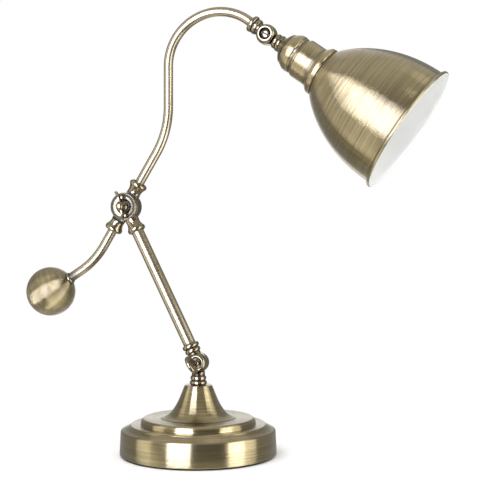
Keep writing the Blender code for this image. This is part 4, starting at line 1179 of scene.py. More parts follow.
@dataclass
class Base:
    """Stepped round base with its trumpet cover, felt and cord bush."""

    shop: Workshop
    felt: float = 1.5
    felt_inset: float = 2.2
    radius: float = 78.1
    wall_height: float = 23.6
    draft: float = 1.0
    edge_round: float = 2.6
    shoulder: float = 2.9
    middle: Point = (68.4, 30.9)
    middle_round: float = 2.0
    top: Point = (57.1, 37.1)
    top_round: float = 3.8
    wall: float = 1.2
    cone_foot: float = 37.3
    cone_top: float = 13.9
    cone_height: float = 31.9
    hole: float = 5.2
    gland_height: float = 10.5
    gland_bore: float = 3.2
    gland_neck: float = 4.4
    gland_flange: float = 6.2
    neck_ring: float = 8.6
    neck_bore: float = 12.6      # how near the hinge the bore in the neck ends

    @property
    def rim(self) -> float:
        """Height of the trumpet cover's top."""
        return self.top[1] + GAP + self.cone_height

    def outline(self, inset: float, count: int) -> list[Point]:
        """Shell surface from the foot of the wall to the flat top.

        Args:
            inset: how far it is moved inwards.
            count: points on each rounding.

        Returns:
            The points.
        """
        edge = (self.radius - self.draft - self.edge_round, self.wall_height)
        middle = (self.middle[0] - self.middle_round, self.middle[1] - self.middle_round)
        top = (self.top[0] - self.top_round, self.top[1] - self.top_round)
        slope_top = self.wall_height + self.edge_round + self.shoulder
        foot = self.felt + GAP
        return [(self.radius - 0.5 - inset, foot), (self.radius - inset, foot + 0.8),
                *arc(edge, self.edge_round - inset, 0, 72, count),
                (self.middle[0] - inset + 0.4, slope_top - inset),
                *arc(middle, self.middle_round - inset, 25, 90, count),
                (self.top[0] - inset + 0.3, self.middle[1] - inset),
                *arc(top, self.top_round - inset, 0, 90, count)]

    def shell(self) -> None:
        """Spun shell with the bush's hole at the back."""
        flat = [(self.top[0] - self.top_round - 3.0 * i, self.top[1]) for i in range(1, 6)]
        skin = self.outline(0.0, 10) + flat + [(self.hole, self.top[1]), (self.hole, self.top[1] - self.wall)]
        mesh = cut(lathe(skin + self.outline(self.wall, 4)[::-1], ORIGIN, 160),
                   drum(40, self.gland_neck + GAP, self.radius / 2, self.radius + 9,
                        seat(self.gland_height * UP, REAR)))
        self.shop.piece("base_shell_spun", mesh, Look.BRASS, Body.BASE, "base_shell")

    def trumpet(self, inset: float, count: int) -> list[Point]:
        """Curve of the cover from its rim down to its foot.

        Args:
            inset: how far it is moved inwards.
            count: points.

        Returns:
            The points.
        """
        made = []
        for i in range(count):
            t = 1.0 - (1.0 - i / (count - 1)) ** 1.6
            swell = 0.53 * t + 0.256 * t ** 4 + 0.214 * t ** 16
            made.append((self.cone_top + (self.cone_foot - self.cone_top) * swell - inset,
                         self.top[1] + GAP + (self.cone_height - 0.7) * (1.0 - t)))
        return made

    def cover(self) -> None:
        """Trumpet cover between the shell and the neck."""
        under = self.rim - self.wall
        outline = [(self.hole, self.rim), (self.cone_top - 0.6, self.rim),
                   (self.cone_top - 0.2, self.rim - 0.2), *self.trumpet(0.0, 44),
                   *self.trumpet(self.wall, 14)[:0:-1], (self.cone_top - self.wall, under),
                   (self.hole, under)]
        self.shop.piece("base_trumpet_spun", lathe(outline, ORIGIN, 128), Look.BRASS, Body.BASE,
                        "base_cone")

    def feet(self) -> None:
        """Felt pad and cord bush."""
        edge = self.radius - self.felt_inset
        pad = eased([(0, 0), (edge, 0, 0.4), (edge, self.felt, 0.4), (0, self.felt)])
        self.shop.piece("base_felt", lathe(pad, ORIGIN, 128), Look.FELT, Body.BASE, "felt_pad")
        share = (self.gland_height - self.felt) / (self.wall_height - self.felt)
        wall = self.radius - self.draft * share
        face, back = wall + GAP, wall - self.wall - GAP - 0.6
        outline = eased([(self.gland_bore, back - 3.0), (self.gland_neck, back - 3.0, 0.4),
                         (self.gland_neck + 1.0, back, 0.3), (self.gland_neck, back),
                         (self.gland_neck, face), (self.gland_flange, face, 0.3),
                         (self.gland_flange, face + 2.0, 0.8), (self.gland_bore, face + 2.0, 0.5),
                         (self.gland_bore, back - 2.0)])
        bush = lathe(outline, seat(self.gland_height * UP, REAR), 48)
        self.shop.piece("base_cord_bush", bush, Look.RUBBER, Body.BASE, "cable_gland")

    def neck(self) -> None:
        """Neck on the trumpet cover with the rear half of the knuckle."""
        hinge = self.shop.pivot("lower_arm_hinge")
        foot = hinge.z - self.rim - GAP
        ring = Ring(foot - 2.1, self.neck_ring, 4.0)
        tail = [(ring.radius - 0.9, foot), (self.hole, foot), (self.hole, self.neck_bore),
                (0, self.neck_bore)]
        BallKnuckle(self.shop, "base_knuckle_cast", "base_knuckle", Body.BASE, hinge, REAR, -UP,
                    Ring(ring.at - 4.6, 7.9, 4.0), ring, tail).build()
        self.shop.washer("base_knuckle_fibre", "base_knuckle_washer", hinge, Body.BASE)

    def build(self) -> None:
        """Builds the whole base."""
        self.shell()
        self.cover()
        self.feet()
        self.neck()
        self.shop.dress(Look.STEEL, "base_nipple", "base_nut", "base_washer")
        self.shop.dress(Look.IRON, "base_weight")


@dataclass
class ThumbScrew:
    """Screw with a flat round paddle in the base knuckle."""

    shop: Workshop
    radius: float = 9.4
    thickness: float = 3.8
    rim: float = 1.5
    reach: float = 22.0
    turn: float = -32.0
    end: float = -7.5
    collar_at: float = 4.9
    collar: float = 3.3

    def build(self) -> None:
        """Builds the piece."""
        centre = self.shop.pivot("lower_arm_hinge")
        root, thin, half = self.reach - self.radius * 0.8, self.collar * 0.7, self.thickness / 2
        shaft = eased([(0, self.end), (SHANK, self.end, 0.3), (SHANK, self.collar_at),
                       (self.collar, self.collar_at, 0.3), (self.collar, 10.0, 0.6), (thin, 11.0, 0.5),
                       (thin, root), (0, root)])
        flat, inner = self.radius - self.rim, self.radius * 0.55
        disc = [(0, -half * 0.86), (inner, -half * 0.9), (flat, -half),
                *arc((flat, 0.0), self.rim, -80, 80, 17, half), (flat, half), (inner, half * 0.9),
                (0, half * 0.86)]
        paddle = lathe(disc, seat(centre + self.reach * FRONT, lean(self.turn + 90.0)), 72)
        mesh = joined(lathe(shaft, seat(centre, FRONT), 48), paddle)
        self.shop.piece("thumb_screw_cast", mesh, Look.CAST, Body.THUMB, "thumb_screw")


@dataclass
class Ferrule:
    """Trumpet socket that grows out of a hub disc."""

    hub: float = 14.1
    waist: float = 6.75
    waist_at: float = 18.5
    lip: float = 9.2
    lip_at: float = 25.5
    lip_round: float = 2.6
    mouth: float = 7.5
    seat_at: float = 21.8

    @property
    def top(self) -> float:
        """Distance of the lip's end from the hinge."""
        return self.lip_at + self.lip_round

    def mesh(self, centre: Vector, axis: Vector, tail: list[Point]) -> bpy.types.Mesh:
        """The socket, closed through its mouth by a tail outline.

        Args:
            centre: hinge.
            axis: direction of the socket.
            tail: outline from the mouth back to the axis.

        Returns:
            The closed mesh.
        """
        flare, rise = self.lip - 0.4 - self.waist, self.lip_at - 1.4 - self.waist_at
        curl = self.lip_round * 0.75
        outline = [(0, 3.0), (self.waist + 0.3, 3.0), (self.waist + 0.3, self.hub),
                   (self.waist, self.waist_at - 1.5), (self.waist, self.waist_at + 0.5)]
        outline += [(self.waist + flare * (k / 10.0) ** 1.7, self.waist_at + rise * (k / 10.0))
                    for k in range(1, 9)]
        outline += arc((self.lip - curl, self.lip_at), curl, -25, 87, 15, self.lip_round)
        return lathe(outline + [(self.lip - curl, self.top)] + tail, seat(centre, axis), 64)


@dataclass
class LowerArm:
    """Lower tube between its knuckle and the front disc of the lever hinge."""

    shop: Workshop
    tube: float = 6.35
    wall: float = 1.05
    spigot: float = 5.0
    bore: float = 3.2
    split: float = 3.2
    hub: float = 14.1
    hub_front: float = 8.3
    hub_rear: float = 8.4
    bevel: float = 1.1
    clearance: float = 1.8
    bowl: float = 10.4
    bowl_depth: float = 0.9
    pocket: float = 7.1
    pocket_floor: float = 5.2

    def disc(self, centre: Vector) -> bpy.types.Mesh:
        """Front disc with its bevelled edge, bowl and pocket.

        Args:
            centre: hinge.

        Returns:
            The closed mesh.
        """
        low, front, bowl = self.split + GAP / 2, self.hub_front, self.bowl
        outline = eased([
            (PIVOT, self.pocket_floor), (self.pocket, self.pocket_floor, 0.4),
            (self.pocket, front - self.bowl_depth, 0.3), (self.pocket + 1.0, front - 0.42, 0.5),
            (bowl, front - 0.34, 0.2), (bowl + 0.3, front, 0.15), (bowl + 0.8, front),
            (self.hub - self.bevel - 0.5, front), (self.hub - self.bevel, front, 0.3),
            (self.hub - 0.2, front - self.bevel * 0.6, 0.4), (self.hub, front - self.bevel - 0.4, 0.3),
            (self.hub, low, 0.5), (PIVOT, low)])
        return lathe(outline, seat(centre, FRONT), 96)

    def patina_shade(self, radius: float, height: float) -> float:
        """Painted shade in the pocket, and a painted dark reflection with patina on the flat ring round the
        bowl.

        Args:
            radius: distance from the hinge.
            height: distance towards the front.

        Returns:
            How much, from 0 to 1.
        """
        if radius < self.pocket + 0.1:
            return 1.0
        flat = self.bowl + 0.4 < radius < self.hub - self.bevel - 0.2
        return 0.98 if flat and height > self.hub_front - 0.1 else 0.0

    def knuckle(self, foot: Vector, axis: Vector) -> None:
        """Front half of the base knuckle, with the spigot in the tube.

        Args:
            foot: hinge at the base.
            axis: direction of the arm.
        """
        end = OUTER.face + 9.0
        tail = [(self.spigot, OUTER.face), (self.spigot, end), (self.bore, end), (self.bore, INNER.at),
                (0, INNER.at)]
        BallKnuckle(self.shop, "lower_knuckle_cast", "lower_knuckle", Body.LOWER_ARM, foot, FRONT, axis,
                    INNER, OUTER, tail).build()

    def front_hub(self, top: Vector, axis: Vector, ferrule: Ferrule) -> None:
        """Front disc of the lever hinge with the socket of the tube, and its spring washer.

        Args:
            top: hinge of the lever.
            axis: direction of the arm.
            ferrule: sizes of the socket.
        """
        place = seat(top, FRONT)
        mouth, seat_at = self.tube + GAP, ferrule.seat_at
        stop = seat_at + 12.0
        inner = [(ferrule.mouth, ferrule.top - 0.3), (mouth, seat_at + 2.5), (mouth, seat_at),
                 (self.spigot, seat_at), (self.spigot, stop), (self.bore, stop),
                 (self.bore, ferrule.waist_at), (0, ferrule.waist_at)]
        neck = cut(ferrule.mesh(top, -axis, inner),
                   drum(96, self.hub + self.clearance, -self.hub_rear - 5, self.split + 0.45, place),
                   drum(64, self.pocket + 2.0, 0, self.hub_front + 5, place))
        mesh = paint_patina_shade(joined(self.disc(top), neck), (place, self.patina_shade))
        self.shop.piece("lower_hub_cast", mesh, Look.CAST, Body.LOWER_ARM, "lower_hub")
        low = self.pocket_floor + GAP
        spring = eased([(PIVOT, low), (6.3, low, 0.3), (6.3, low + 1.0, 0.3), (PIVOT, low + 1.0)])
        self.shop.piece("pivot_washer_spring", lathe(spring, place, 64), Look.DARK_STEEL,
                        Body.LOWER_ARM, "pivot_washer")

    def build(self) -> None:
        """Builds the whole lower arm."""
        foot, top = self.shop.pivot("lower_arm_hinge"), self.shop.pivot("lever_hinge")
        axis, ferrule, steps = (top - foot).normalized(), Ferrule(), 40
        self.knuckle(foot, axis)
        start, end = foot + (OUTER.face + GAP) * axis, top - (ferrule.seat_at + GAP) * axis
        self.shop.tube("lower_arm_tube_drawn", [start.lerp(end, i / steps) for i in range(steps + 1)],
                       self.tube, self.wall, Body.LOWER_ARM, "lower_arm_tube")
        self.front_hub(top, axis, ferrule)


@dataclass
class LeverPart:
    """Sizes that the parts of the lever share."""

    shop: Workshop
    lean_out: float = 31.3       # of the upper arm at the hub, from upright
    slim: float = 4.7            # radius of the upper tube and of the counterweight's rod
    socket: float = 16.0         # how near the hinge both of them begin


@dataclass(kw_only=True)
class LeverHub(LeverPart):
    """Rear disc of the lever hinge with its two sockets, its bolt and its wing nut."""

    arm: LowerArm
    head: float = 5.6
    head_height: float = 1.6
    shaft: float = 2.0
    nut_base: float = 5.2
    shank: float = 3.4
    dome: float = 4.2
    reach: float = 17.6
    span: float = 15.4
    thickness: float = 2.2
    turn: float = -13.0

    def disc(self, centre: Vector) -> bpy.types.Mesh:
        """Rear disc with the sockets of the upper arm and of the counterweight rod.

        Args:
            centre: hinge.

        Returns:
            The closed mesh, with its patina.
        """
        arm, ferrule, place = self.arm, Ferrule(), seat(centre, FRONT)
        split, back, bore = arm.split - GAP / 2, -arm.hub_rear, self.slim + GAP
        outline = eased([(PIVOT, split), (arm.hub, split, 0.5), (arm.hub, back, 1.1),
                         (self.head + 1.2, back, 0.3), (self.head + 0.5, back + self.head_height, 0.3),
                         (PIVOT, back + self.head_height)])
        tail = [(ferrule.mouth, ferrule.top - 0.3), (ferrule.mouth - 0.4, ferrule.lip_at - 0.5),
                (bore, ferrule.seat_at), (bore, self.socket), (0, self.socket)]
        mesh, front = lathe(outline, place, 96), arm.hub_front + 5
        for side in (1.0, -1.0):
            neck = cut(ferrule.mesh(centre, side * lean(self.lean_out), tail),
                       drum(96, arm.hub + arm.clearance, split - 0.3, front, place),
                       drum(64, self.head + 2.0 + 0.11 * side, back - 5, front, place))
            mesh = joined(mesh, neck)
        return paint_patina_shade(mesh, (place, self.patina_shade))

    def patina_shade(self, radius: float, height: float) -> float:
        """Painted shade with patina: half dark on the disc, and black in the gap between the front disc and
        the sockets, where shadow falls.

        Args:
            radius: distance from the hinge.
            height: distance towards the front.

        Returns:
            How much, from 0 to 1.
        """
        if radius < self.arm.hub + 0.1:
            return 0.5
        gap = radius < self.arm.hub + self.arm.clearance + 0.1 and height > self.arm.split - 1.0
        return 1.0 if gap else 0.0

    def bolt(self, centre: Vector) -> bpy.types.Mesh:
        """Slotted bolt through both discs.

        Args:
            centre: hinge.

        Returns:
            The closed mesh.
        """
        top = -self.arm.hub_rear + self.head_height - GAP
        low, end, place = top - self.head_height, self.reach - 3.0, seat(centre, FRONT)
        mesh = lathe(eased([(0, low), (self.head, low, 0.7), (self.head, top, 0.2), (self.shaft, top),
                            (self.shaft, end, 0.3), (0, end)]), place, 48)
        return slotted(mesh, self.head, 0.55, place @ Matrix.Translation((0, 0, (low - 0.7) * MM)))

    def nut(self, centre: Vector) -> bpy.types.Mesh:
        """Domed wing nut whose wings flare forwards.

        Args:
            centre: hinge.

        Returns:
            The closed mesh.
        """
        base, end = self.arm.pocket_floor + 2 * GAP + 1.0, self.reach - 2.2
        crown = self.dome * 0.9
        body = eased([(0, end), (PIVOT, end), (PIVOT, base), (self.nut_base, base, 0.6),
                      (self.nut_base - 0.3, base + 2.2, 0.8), (self.shank, base + 4.2, 0.8),
                      (self.dome * 0.85, self.reach - 2.5)])
        body += arc((0.0, self.reach), self.dome, -28, 84, 15, crown, 0.62) + [(0, self.reach + crown)]
        mesh = lathe(body, seat(centre, FRONT), 64)
        root, low, tip = 2.7, base + 2.8, self.span
        rise = [(root, 0.0), (tip * 0.3, 0.6), (tip * 0.55, 2.2), (tip * 0.82, 5.2), (tip * 0.97, 8.2),
                (tip, 10.4), (tip * 0.97, 11.5), (tip * 0.9, 11.2), (tip * 0.68, 8.6), (tip * 0.42, 7.6),
                (root, 7.8)]
        across = lean(self.turn)
        turn = Matrix((across, FRONT, across.cross(FRONT))).transposed().to_4x4()
        for side in (1.0, -1.0):
            flat = through([(side * r, low + z) for r, z in rise], 3, True)
            wing = plate(flat, self.thickness, Matrix.Translation(centre * MM) @ turn, 0.45)
            mesh = joined(mesh, wing)
        return mesh

    def build(self) -> None:
        """Builds the hub, the bolt and the nut."""
        centre = self.shop.pivot("lever_hinge")
        for name, mesh, look, body, node in (
                ("lever_hub_cast", self.disc(centre), Look.CAST, Body.LEVER, "lever_hub"),
                ("pivot_bolt_turned", self.bolt(centre), Look.STEEL, Body.LEVER, "pivot_bolt"),
                ("wing_nut_cast", self.nut(centre), Look.CAST, Body.WING, "wing_nut")):
            self.shop.piece(name, mesh, look, body, node)


@dataclass
class UpperArm(LeverPart):
    """Curved upper tube with the front half of the shade's knuckle at its end."""

    wall: float = 1.05
    run: float = 62.5
    sweep: float = 90.0
    riser: float = 40.5
    arch: float = 52.0
    drop: float = 38.9
    screw_end: float = -7.5
    screw_seat: float = 4.9
    screw_top: float = 7.5
    screw_head: float = 4.6

    def path(self, start: Vector, end: Vector) -> list[Vector]:
        """Centreline from the hub's socket to the knuckle's ring.

        Args:
            start: hinge of the lever.
            end: hinge of the shade.

        Returns:
            Its points.
        """
        axis = lean(self.lean_out)
        corner = start + self.run * axis
        first = bend(corner, self.lean_out, self.sweep, -self.lean_out, 18)
        top = first[-1] + self.riser * UP
        return [start + (self.socket + GAP) * axis, start + self.run * 0.6 * axis, corner, *first,
                *(first[-1].lerp(top, k / 4) for k in range(1, 5)),
                *bend(top, 0.0, self.arch, 90.0 + self.drop, 56),
                end - (OUTER.face + GAP) * lean(90.0 + self.drop)]

    def screw(self, centre: Vector) -> bpy.types.Mesh:
        """Slotted cheese head screw in the knuckle's recess.

        Args:
            centre: hinge.

        Returns:
            The closed mesh.
        """
        place, low = seat(centre, FRONT), self.screw_seat
        edge = low + 0.9
        mesh = lathe([(0, self.screw_end), (SHANK, self.screw_end), (SHANK, low), (self.screw_head, low),
                      *arc((0.0, edge), self.screw_head, 0, 81, 10, self.screw_top - edge, 0.8),
                      (0, self.screw_top)], place, 48)
        turn = Matrix.Rotation(math.radians(-28.0), 4, "Z")
        lift = Matrix.Translation((0, 0, (self.screw_top + 0.1) * MM))
        return slotted(mesh, self.screw_head, 0.8, place @ turn @ lift)

    def build(self) -> None:
        """Builds the whole upper arm."""
        shop, face = self.shop, OUTER.face
        start, end = shop.pivot("lever_hinge"), shop.pivot("shade_hinge")
        shop.tube("upper_arm_tube_bent", self.path(start, end), self.slim, self.wall, Body.LEVER,
                  "upper_arm_tube")
        inner = self.slim - self.wall - GAP
        tail = [(inner, face), (inner, face + 5.0), (0, face + 5.0)]
        BallKnuckle(shop, "arm_end_knuckle_cast", "arm_end_knuckle", Body.LEVER, end, FRONT,
                    -lean(90.0 + self.drop), INNER, OUTER, tail).build()
        shop.washer("head_washer_fibre", "head_washer", end, Body.LEVER)
        shop.piece("head_screw_turned", self.screw(end), Look.CAST, Body.LEVER, "head_screw")


@dataclass
class Counterweight(LeverPart):
    """Bent rod with its collar and its brushed ball."""

    run: float = 46.0
    bend_radius: float = 80.0
    end_lean: float = 57.5
    tail: float = 40.7
    ball: float = 25.2
    depth: float = 14.0
    collar: float = 6.1
    collar_length: float = 2.4

    def build(self) -> None:
        """Builds the rod, the collar and the ball."""
        axis, away, ball = lean(self.lean_out), -lean(self.end_lean), self.ball
        hub = self.shop.pivot("lever_hinge")
        corner = hub - self.run * axis
        arcs = bend(corner, self.lean_out + 180.0, self.bend_radius, self.end_lean - self.lean_out, 20)
        centre = arcs[-1] + self.tail * away
        start = hub - (self.socket + GAP) * axis
        end = centre - (ball - self.depth + GAP) * away
        path = [start, start.lerp(corner, 0.5), corner, *arcs, arcs[-1].lerp(end, 0.5), end]
        self.shop.tube("counterweight_rod_bent", path, self.slim, 0.0, Body.LEVER, "counterweight_rod")

        bore, floor, place = self.slim + GAP, ball - self.depth, seat(centre, -away)
        mouth = math.degrees(math.acos((bore + 0.3) / ball))
        rim = ball * math.sin(math.radians(mouth)) - 0.3
        outline = [(0, floor), (bore, floor), (bore, rim), *arc((0, 0), ball, mouth, -89, 60), (0, -ball)]
        self.shop.piece("counterweight_ball_turned", lathe(outline, place, 128), Look.BALL, Body.LEVER,
                        "counterweight_ball")

        low = math.sqrt(ball ** 2 - bore ** 2) + GAP
        high = low + self.collar_length
        outline = eased([(bore, low), (self.collar, low, 0.4), (self.collar, low + 1.5, 0.7),
                         (self.collar - 0.7, high, 0.3), (bore, high)])
        self.shop.piece("counterweight_collar_turned", lathe(outline, place, 64), Look.CAST, Body.LEVER,
                        "counterweight_collar")


@dataclass
class Head:
    """Lampholder and bell shade, measured along the shade axis from its hinge."""

    shop: Workshop
    drop: float = 35.3
    nipple: float = 4.9
    cap_foot: float = 8.8
    cap: float = 15.3
    cap_length: float = 6.7
    wall: float = 1.0
    upper: float = 19.25
    upper_length: float = 14.2
    upper_shoulder: float = 7.6
    lower: float = 20.15
    lower_length: float = 20.6
    lower_tail: float = 4.4
    ring: float = 24.9
    ring_length: float = 8.1
    sheet: float = 0.9
    lining: float = 0.25
    seam: float = 0.02           # between the brass sheet and its enamel
    neck: float = 24.6
    mouth: float = 61.4
    length: float = 94.5
    belly: float = 2.2
    shoulder: float = 0.88
    roll: float = 1.75
    roll_out: float = 1.5
    retainer: float = 22.4
    socket: float = 16.8
    bore: float = 13.7
    socket_depth: float = 34.0
    socket_proud: float = 6.5
    contact: float = 8.6
    pitches: int = 3

    def __post_init__(self) -> None:
        """Works out where each piece starts."""
        self.centre = self.shop.pivot("shade_hinge")
        self.axis = lean(90.0 + self.drop)
        self.place = seat(self.centre, self.axis)
        self.knuckle_ring = Ring(16.3, 8.4, 3.9)
        self.hole = self.nipple + GAP
        self.throat = self.socket + GAP
        self.cap_at = self.knuckle_ring.face + GAP
        self.upper_at = self.cap_at + self.cap_length + GAP
        self.lower_at = self.upper_at + self.upper_length + GAP
        self.ring_at = self.lower_at + self.lower_length + GAP
        self.neck_at = self.ring_at + self.ring_length + GAP
        self.bell_at = self.neck_at + self.sheet * 0.9
        self.end = self.bell_at + self.length
        self.waist = self.upper - 0.75

    def part(self, name: str, outline: list[Point], node: str | None, look: Look = Look.SPUN,
             steps: int = 112, patina_shade: PatinaShadeMap | None = None) -> None:
        """One turned piece of the head.

        Args:
            name: of the piece.
            outline: its section along the shade axis.
            node: CAD node that it replaces, if any.
            look: its finish.
            steps: facets round the axis.
            patina_shade: where patina and painted shade lie on it.
        """
        mesh = lathe(outline, self.place, steps)
        if patina_shade:
            paint_patina_shade(mesh, (self.place, patina_shade))
        self.shop.piece(name, mesh, look, Body.HEAD, *([node] if node else []))

    def knuckle(self) -> None:
        """Rear half of the knuckle with its threaded stem."""
        inner, face = Ring(12.1, 7.7, 3.5), self.knuckle_ring.face
        stem = self.upper_at + self.wall + GAP + 6.0
        tail = [(self.nipple, face), (self.nipple, stem), (3.2, stem), (3.2, inner.at), (0, inner.at)]
        BallKnuckle(self.shop, "holder_knuckle_cast", "holder_knuckle", Body.HEAD, self.centre, REAR,
                    self.axis, inner, self.knuckle_ring, tail, root=6.2).build()

    def domed_cap(self) -> None:
        """Domed cap behind the lampholder."""
        low, top = self.cap_at, self.cap_at + self.cap_length
        swell = self.cap - self.cap_foot
        rise = through([(0.0, 0.12), (0.22, 0.34), (0.58, 0.58), (0.86, 0.8), (1.0, 0.95)], 4, False)
        dome = [(self.cap_foot + swell * s, low + self.cap_length * h) for s, h in rise]
        inner = [(r - self.wall, z + self.wall * 0.6) for r, z in dome[:-1]]
        outline = [(self.hole, low), (self.cap_foot - 0.6, low), *dome, (self.cap - 0.3, top),
                   (self.cap - self.wall - 0.4, top), *inner[::-1], (self.hole, low + self.wall)]
        # painted shade: the cap darkens towards its rim, where it meets the upper shell
        self.part("holder_cap_spun", outline, "holder_cap",
                  patina_shade=lambda r, z: min(max((r - self.cap_foot - 3.0) / 1.6, 0.0), 0.85))

    def upper_shell(self) -> None:
        """Shouldered upper shell of the lampholder."""
        low, end = self.upper_at, self.upper_at + self.upper_length
        waist, upper, wall = self.waist, self.upper, self.wall
        shoulder, rib = low + self.upper_shoulder, waist + 0.35
        rise = eased([(self.cap - 0.9, low), (self.cap, low, 0.25), (upper - 0.5, shoulder - 1.8, 1.6),
                      (upper, shoulder + 1.0)])
        foot = eased([(upper, end - 4.0), (upper, end - 3.6, 0.3), (waist, end - 2.7, 0.2),
                      (waist, end - 2.3), (rib, end - 2.0, 0.2), (rib, end - 1.4, 0.2),
                      (waist, end - 1.1), (waist, end)])
        inner = [(r - wall * 0.8, z + wall * 0.8) for r, z in rise[:0:-1]]
        outline = [(self.hole, low), *rise, *foot, (waist - wall, end), (waist - wall, end - 1.8),
                   (upper - wall, end - 3.2), *inner, (self.hole, low + wall)]
        # painted shade in the groove at the shell's waist, by its rib
        self.part("holder_upper_shell_spun", outline, "holder_upper_shell",
                  patina_shade=lambda r, z: 0.75 if z > end - 2.8 and r < rib - 0.1 else 0.0)

    def lower_shell(self) -> None:
        """Lower shell, whose sleeve slips into the upper one."""
        low, high = self.lower_at, self.lower_at + self.lower_length
        waist, lower, wall = self.waist, self.lower, self.wall
        sleeve, tail = waist - wall - GAP, low - self.lower_tail
        outline = eased([(sleeve, tail), (sleeve, low), (waist, low, 0.2), (waist, low + 0.9, 0.5),
                         (lower - 0.3, low + 2.4, 0.8), (lower, low + 3.4, 0.6), (lower, high - 3.2),
                         (lower, high - 2.4), (lower, high, 0.3), (lower - wall, high, 0.1),
                         (lower - wall, low + 4.0, 0.4), (sleeve - wall, low + 2.6, 0.4),
                         (sleeve - wall, tail)])
        # painted shade in the corners at both ends: beside the shade ring and where the sleeve enters the
        # upper shell
        self.part("holder_lower_shell_spun", outline, "holder_lower_shell",
                  patina_shade=lambda r, z: 0.6 if z > high - 3.0 else (0.75 if z < low + 0.5 else 0.0))

    def shade_ring(self) -> None:
        """Ring that clamps the shade on the lampholder."""
        low, high, bore = self.ring_at, self.ring_at + self.ring_length, self.throat
        outline = eased([(bore, low), (self.lower + 1.2, low, 0.3), (self.ring - 0.4, low + 3.7, 0.5),
                         (self.ring, high - 1.4, 0.7), (self.ring - 0.6, high, 0.2), (bore, high)])
        self.part("shade_ring_turned", outline, "shade_ring")

    def bell(self, inset: float, count: int) -> list[Point]:
        """Bell curve from the neck to the mouth.

        Args:
            inset: how far it is moved inwards.
            count: points.

        Returns:
            The points.
        """
        made = []
        swell = self.mouth - self.neck
        for i in range(count):
            t = (i / (count - 1)) ** 1.35
            radius = self.neck + swell * (1.0 - (1.0 - t) ** self.belly) ** self.shoulder
            turn = math.atan(self.belly * (1.0 - t) ** (self.belly - 1.0) * swell / self.length)
            made.append((radius - inset * math.cos(turn),
                         self.bell_at + self.length * t + inset * math.sin(turn)))
        return made

    def shade(self) -> None:
        """Brass bell with its rolled edge, and the white enamel inside it."""
        bore, low, end, neck, mouth = self.throat, self.neck_at, self.end, self.neck, self.mouth
        half = self.sheet - self.lining
        skin = half + self.seam
        heart = (mouth + self.roll_out, end + self.roll + 1.4)
        bead_in = self.roll - self.lining
        brass = [(bore, low), (neck - 0.5, low), *self.bell(0.0, 64), *arc(heart, self.roll, -140, 62, 18),
                 *arc(heart, bead_in, 66, 150, 9), (mouth - half, end + 2.0), *self.bell(half, 40)[:0:-1],
                 (neck - half, low + half), (bore, low + half)]
        self.part("shade_spun", brass, "shade", Look.SHADE, 200)
        white = [(bore, low + skin), (neck - skin, low + skin), *self.bell(skin, 48)[1:],
                 (mouth - skin, end + 2.0), *arc(heart, bead_in + 0.03, 150, 66, 9),
                 *arc(heart, self.roll, 66, 150, 12), (mouth - self.sheet, end + 1.8),
                 *self.bell(self.sheet, 48)[:0:-1], (neck - self.sheet, low + self.sheet),
                 (bore, low + self.sheet)]
        self.part("shade_enamel", white, None, Look.ENAMEL, 160)

    def lampholder(self) -> None:
        """Socket body, its threaded shell, its contact and the ring that holds the shade from inside."""
        low = self.neck_at + self.sheet + GAP
        ring, bore, wide = self.retainer, self.throat, self.socket
        outline = eased([(bore, low), (ring, low, 0.3), (ring, low + 2.6, 0.6), (ring - 1.0, low + 4.6, 0.6),
                         (bore, low + 4.6)])
        self.part("shade_retainer_moulded", outline, "shade_retainer", Look.PORCELAIN, 96)

        end = low + self.socket_proud
        floor, base = end - self.socket_depth, self.lower_at + 4.0 + GAP
        tail, flange = self.waist - 2 * self.wall - 2 * GAP, self.lower - self.wall - GAP
        outline = eased([(0, base - 7.0), (tail, base - 7.0, 0.4), (tail, base), (flange, base, 0.3),
                         (flange, base + 2.5, 0.3), (wide, base + 2.5), (wide, end, 0.6),
                         (self.bore, end, 0.6), (self.bore, floor, 0.5), (0, floor)])
        self.part("socket_body_moulded", outline, "socket_body", Look.PORCELAIN, 96)

        outside, start, steps = self.bore - GAP, floor + 6.0, 48
        height = end - 2.0 - start
        wave = [(outside - 0.225 * (1 - math.cos(2 * math.pi * self.pitches * i / steps)),
                 start + height * i / steps) for i in range(steps + 1)]
        lined = [(r - 0.5, z) for r, z in wave]
        outline = [(self.contact, start - 1.0), (outside - 0.6, start - 1.0), *wave, *lined[::-1],
                   (outside - 1.1, start - 0.4), (self.contact, start - 0.4)]
        self.part("socket_thread_rolled", outline, "socket_thread", Look.BRASS, 96)

        rest = floor + GAP
        outline = eased([(0, rest), (4.6, rest, 0.2), (4.6, rest + 0.8, 0.2), (2.4, floor + 1.3, 0.3),
                         (2.0, floor + 3.6, 0.5), (0, floor + 4.0)])
        self.part("socket_contact_turned", outline, "socket_contact", Look.STEEL, 48)
        self.shop.dress(Look.STEEL, "holder_nut")

    def build(self) -> None:
        """Builds the whole head."""
        for step in (self.knuckle, self.domed_cap, self.upper_shell, self.lower_shell, self.shade_ring,
                     self.shade, self.lampholder):
            step()


# Studio -------------------------------------------------------------------------------------------
@dataclass(frozen=True)
class Card:
    """Part of a sphere round the lamp that only metal and gloss show.

    Angles are in degrees: across from the camera's side to the right, and up from level.
    """

    name: str
    left: float
    right: float
    low: float
    high: float
    tone: float
    tint: tuple = (1.0, 1.0, 1.0)


@dataclass(frozen=True)
class SoftBox:
    """Square lamp for the pale surfaces: angles as a card has them, size in metres and radiance."""

    name: str
    across: float
    up: float
    size: float
    glow: float


